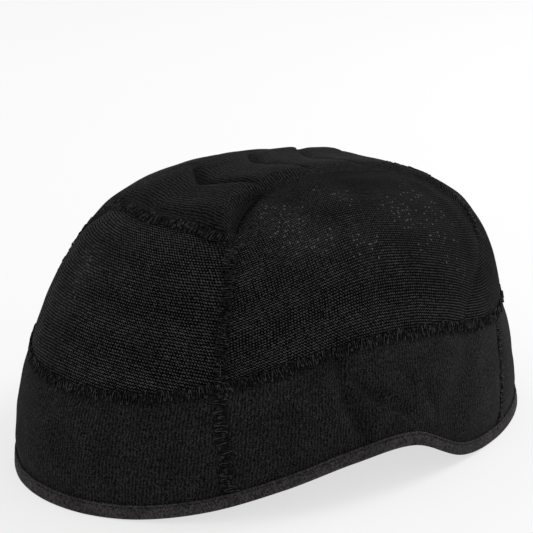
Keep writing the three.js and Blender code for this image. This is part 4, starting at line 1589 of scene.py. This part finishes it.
@dataclass(frozen=True)
class Studio:
    """Pale floor, soft lights and the camera of the view."""

    azimuth: float = 49.0
    elevation: float = 17.0
    distance: float = 650.0
    target: tuple[float, float, float] = (0.0, -2.5, 60.0)
    focal_pixels: float = 1830.4
    image_pixels: float = 533.0
    centre_pixels: tuple[float, float] = (272.2, 267.0)
    floor_colour: str = "#7f7f7f"
    floor_glow: float = 0.68
    world_strength: float = 1.0
    floor_reach: float = 12.0
    aim_height: float = 0.06
    # Name, azimuth and elevation in degrees, distance and size in metres, and watts
    lights: tuple[tuple[str, float, float, float, float, float], ...] = (
        ("back_light", 168.0, 37.0, 1.4, 0.7, 12.0),
        ("front_light", 5.0, 22.0, 1.5, 1.0, 1.0),
        ("side_light", 125.0, 12.0, 1.5, 0.7, 1.1),
    )

    def direction(self, azimuth: float, elevation: float) -> Vector:
        """Direction from the object towards a viewer."""
        turn, lift = math.radians(azimuth), math.radians(elevation)
        return Vector(
            (math.sin(turn) * math.cos(lift), -math.cos(turn) * math.cos(lift), math.sin(lift))
        )

    def camera(self) -> bpy.types.Object:
        """Place the camera."""
        data = bpy.data.cameras.new("view_camera")
        data.sensor_width = 36.0
        data.lens = self.focal_pixels / self.image_pixels * data.sensor_width
        middle = (self.image_pixels - 1) / 2 + 0.5
        data.shift_x = (middle - self.centre_pixels[0]) / self.image_pixels
        data.shift_y = (self.centre_pixels[1] - middle) / self.image_pixels
        data.clip_start = 0.01
        data.clip_end = 50
        camera = bpy.data.objects.new("view_camera", data)
        back = self.direction(self.azimuth, self.elevation)
        target = Vector(self.target) * MILLIMETRE
        camera.location = target + back * self.distance * MILLIMETRE
        camera.rotation_euler = (-back).to_track_quat("-Z", "Y").to_euler()
        bpy.context.scene.collection.objects.link(camera)
        bpy.context.scene.camera = camera
        return camera

    def light(
        self, name: str, azimuth: float, elevation: float, away: float, size: float, watts: float
    ) -> bpy.types.Object:
        """Place one soft light that faces the cap."""
        data = bpy.data.lights.new(name, "AREA")
        data.shape = "DISK"
        data.size = size
        data.energy = watts
        lamp = bpy.data.objects.new(name, data)
        toward = self.direction(azimuth, elevation)
        lamp.location = Vector((0, 0, self.aim_height)) + toward * away
        lamp.rotation_euler = (-toward).to_track_quat("-Z", "Y").to_euler()
        bpy.context.scene.collection.objects.link(lamp)
        return lamp

    def floor(self) -> bpy.types.Object:
        """Lay the pale floor, lit from below as on a light table."""
        mesh = bpy.data.meshes.new("floor")
        reach = self.floor_reach
        corners = [(-reach, -reach, 0), (reach, -reach, 0), (reach, reach, 0), (-reach, reach, 0)]
        mesh.from_pydata(corners, [], [(0, 1, 2, 3)])
        material = bpy.data.materials.new("floor")
        material.use_nodes = True
        shader = material.node_tree.nodes["Principled BSDF"]
        shader.inputs["Base Color"].default_value = linear(self.floor_colour)
        shader.inputs["Roughness"].default_value = 1.0
        shader.inputs["Specular IOR Level"].default_value = 0.0
        shader.inputs["Emission Color"].default_value = linear("#ffffff")
        shader.inputs["Emission Strength"].default_value = self.floor_glow
        mesh.materials.append(material)
        floor = bpy.data.objects.new("floor", mesh)
        bpy.context.scene.collection.objects.link(floor)
        return floor

    def build(self) -> None:
        """Build the whole studio."""
        scene = bpy.context.scene
        scene.view_settings.view_transform = "Standard"
        scene.view_settings.look = "None"
        scene.view_settings.exposure = 0.0
        world = bpy.data.worlds.new("studio")
        world.use_nodes = True
        background = world.node_tree.nodes["Background"]
        background.inputs[0].default_value = (1.0, 1.0, 1.0, 1.0)
        background.inputs[1].default_value = self.world_strength
        scene.world = world
        self.floor()
        for light in self.lights:
            self.light(*light)
        self.camera()


# The cap


@dataclass(frozen=True)
class Cap:
    """The whole cap, piece by piece."""

    seams: SeamWork = SeamWork()
    # Flat size of each cloth before sewing, in mm: width, length and the share of that box it fills
    cuts: dict[str, tuple[float, float, float]] = field(
        default_factory=lambda: {
            "front_mesh": (100.0, 68.0, 0.81),
            "back_mesh": (150.0, 60.0, 0.68),
            "side_mesh": (125.0, 75.0, 0.76),
            "band_front_fleece": (116.0, 42.0, 0.98),
            "band_back_fleece": (155.0, 45.0, 0.95),
            "band_side_fleece": (135.0, 50.0, 0.81),
            "binding_tape": (13.0, 566.0, 1.0),
        }
    )

    def add(
        self,
        name: str,
        cloth: Cloth,
        material: bpy.types.Material,
        nodes: Sequence[str],
        slot: str,
        cut: str | None,
    ) -> bpy.types.Object:
        """Add one cloth to the part, hide the solids that it replaces and log its size.

        Args:
            name: the piece's name.
            cloth: its cloth.
            material: its finish.
            nodes: the solids that it replaces.
            slot: not used.
            cut: not used.

        Returns:
            The new piece.
        """
        piece = make_piece(name, cloth, material)
        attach(piece, "root")
        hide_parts(*nodes)
        log.info(
            "%s: %d faces, cloth of %.0f square cm",
            name, len(cloth.faces), cloth.area() / 200,
        )
        return piece

    def build_mesh(self) -> None:
        """Build the four knit mesh panels."""
        finish = MESH_KNIT.material()
        head, back = SEAMS.band_front_head, SEAMS.mesh_back
        front = MeshPanel(
            "front_mesh",
            "front_panel",
            (
                (lambda share: SEAMS.over_band(lerp(-head, head, share)), 110),
                (SEAMS.front_corner, 60),
                (lambda share: SEAMS.top_end(1 - 2 * share, back=False), 90),
                (lambda share: about_forehead(SEAMS.front_corner(1 - share)), 60),
            ),
            0.0,
            row_sag=0.0034,
        )
        rear = MeshPanel(
            "back_mesh",
            "back_panel",
            (
                (lambda share: SEAMS.over_band(lerp(back, 2 * np.pi - back, share)), 170),
                (lambda share: about_nape(SEAMS.back_corner(share)), 60),
                (lambda share: SEAMS.top_end(2 * share - 1, back=True), 110),
                (lambda share: SEAMS.back_corner(1 - share), 60),
            ),
            math.pi,
        )
        side = MeshPanel(
            "side_mesh",
            "side_panel_left",
            (
                (lambda share: SEAMS.over_band(lerp(head, back, share)), 120),
                (SEAMS.back_corner, 60),
                (lambda share: SEAMS.top_side(1 - share), 180),
                (lambda share: SEAMS.front_corner(1 - share), 60),
            ),
            math.radians(78),
            row_sag=0.0015,
        )
        for panel in (front, rear):
            self.add(panel.name, panel.cloth(), finish, [panel.node], "mesh_knit", panel.name)
        cloth = side.cloth()
        self.add("side_mesh_left", cloth, finish, [side.node], "mesh_knit", side.name)
        other = cloth.mirrored()
        self.add("side_mesh_right", other, finish, ["side_panel_right"], "mesh_knit", side.name)

    def build_band(self) -> None:
        """Build the four pieces of the band."""
        finish = RIB_FLEECE.material()
        front = (SEAMS.band_front_foot, SEAMS.band_front_head)
        back = (SEAMS.band_back_foot, SEAMS.band_back_head)
        right_front = (-front[0], -front[1])
        right_back = (2 * math.pi - back[0], 2 * math.pi - back[1])
        forehead = BAND.cloth(right_front, front, 170)
        nape = BAND.cloth(back, right_back, 220)
        side = BAND.cloth(front, back, 220)
        made = (
            ("band_front_fleece", forehead, "band_front", "band_front_fleece"),
            ("band_back_fleece", nape, "band_back", "band_back_fleece"),
            ("band_left_fleece", side, "band_left", "band_side_fleece"),
            ("band_right_fleece", side.mirrored(), "band_right", "band_side_fleece"),
        )
        for name, cloth, node, cut in made:
            self.add(name, cloth, finish, [node], "rib_fleece", cut)

    def build(self) -> None:
        """Build the pieces in the order that they are sewn."""
        self.add(
            "top_pad", TopPanel().cloth(), PAD_FLEECE.material(), ["top_panel"], "pad_fleece", None
        )
        self.build_mesh()
        self.build_band()
        self.add(
            "binding_tape", BINDING.cloth(), BINDING_TAPE.material(), ["hem_binding"],
            "binding_tape", "binding_tape",
        )
        for thread in self.seams.build():
            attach(thread, "root")
            log.info("%s: %d faces", thread.name, len(thread.data.polygons))


def main() -> None:
    """Build the cap and its studio."""
    logging.basicConfig(level=logging.INFO, format="%(name)s: %(message)s")
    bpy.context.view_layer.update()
    Cap().build()
    Studio().build()


if __name__ == "__main__":
    main()
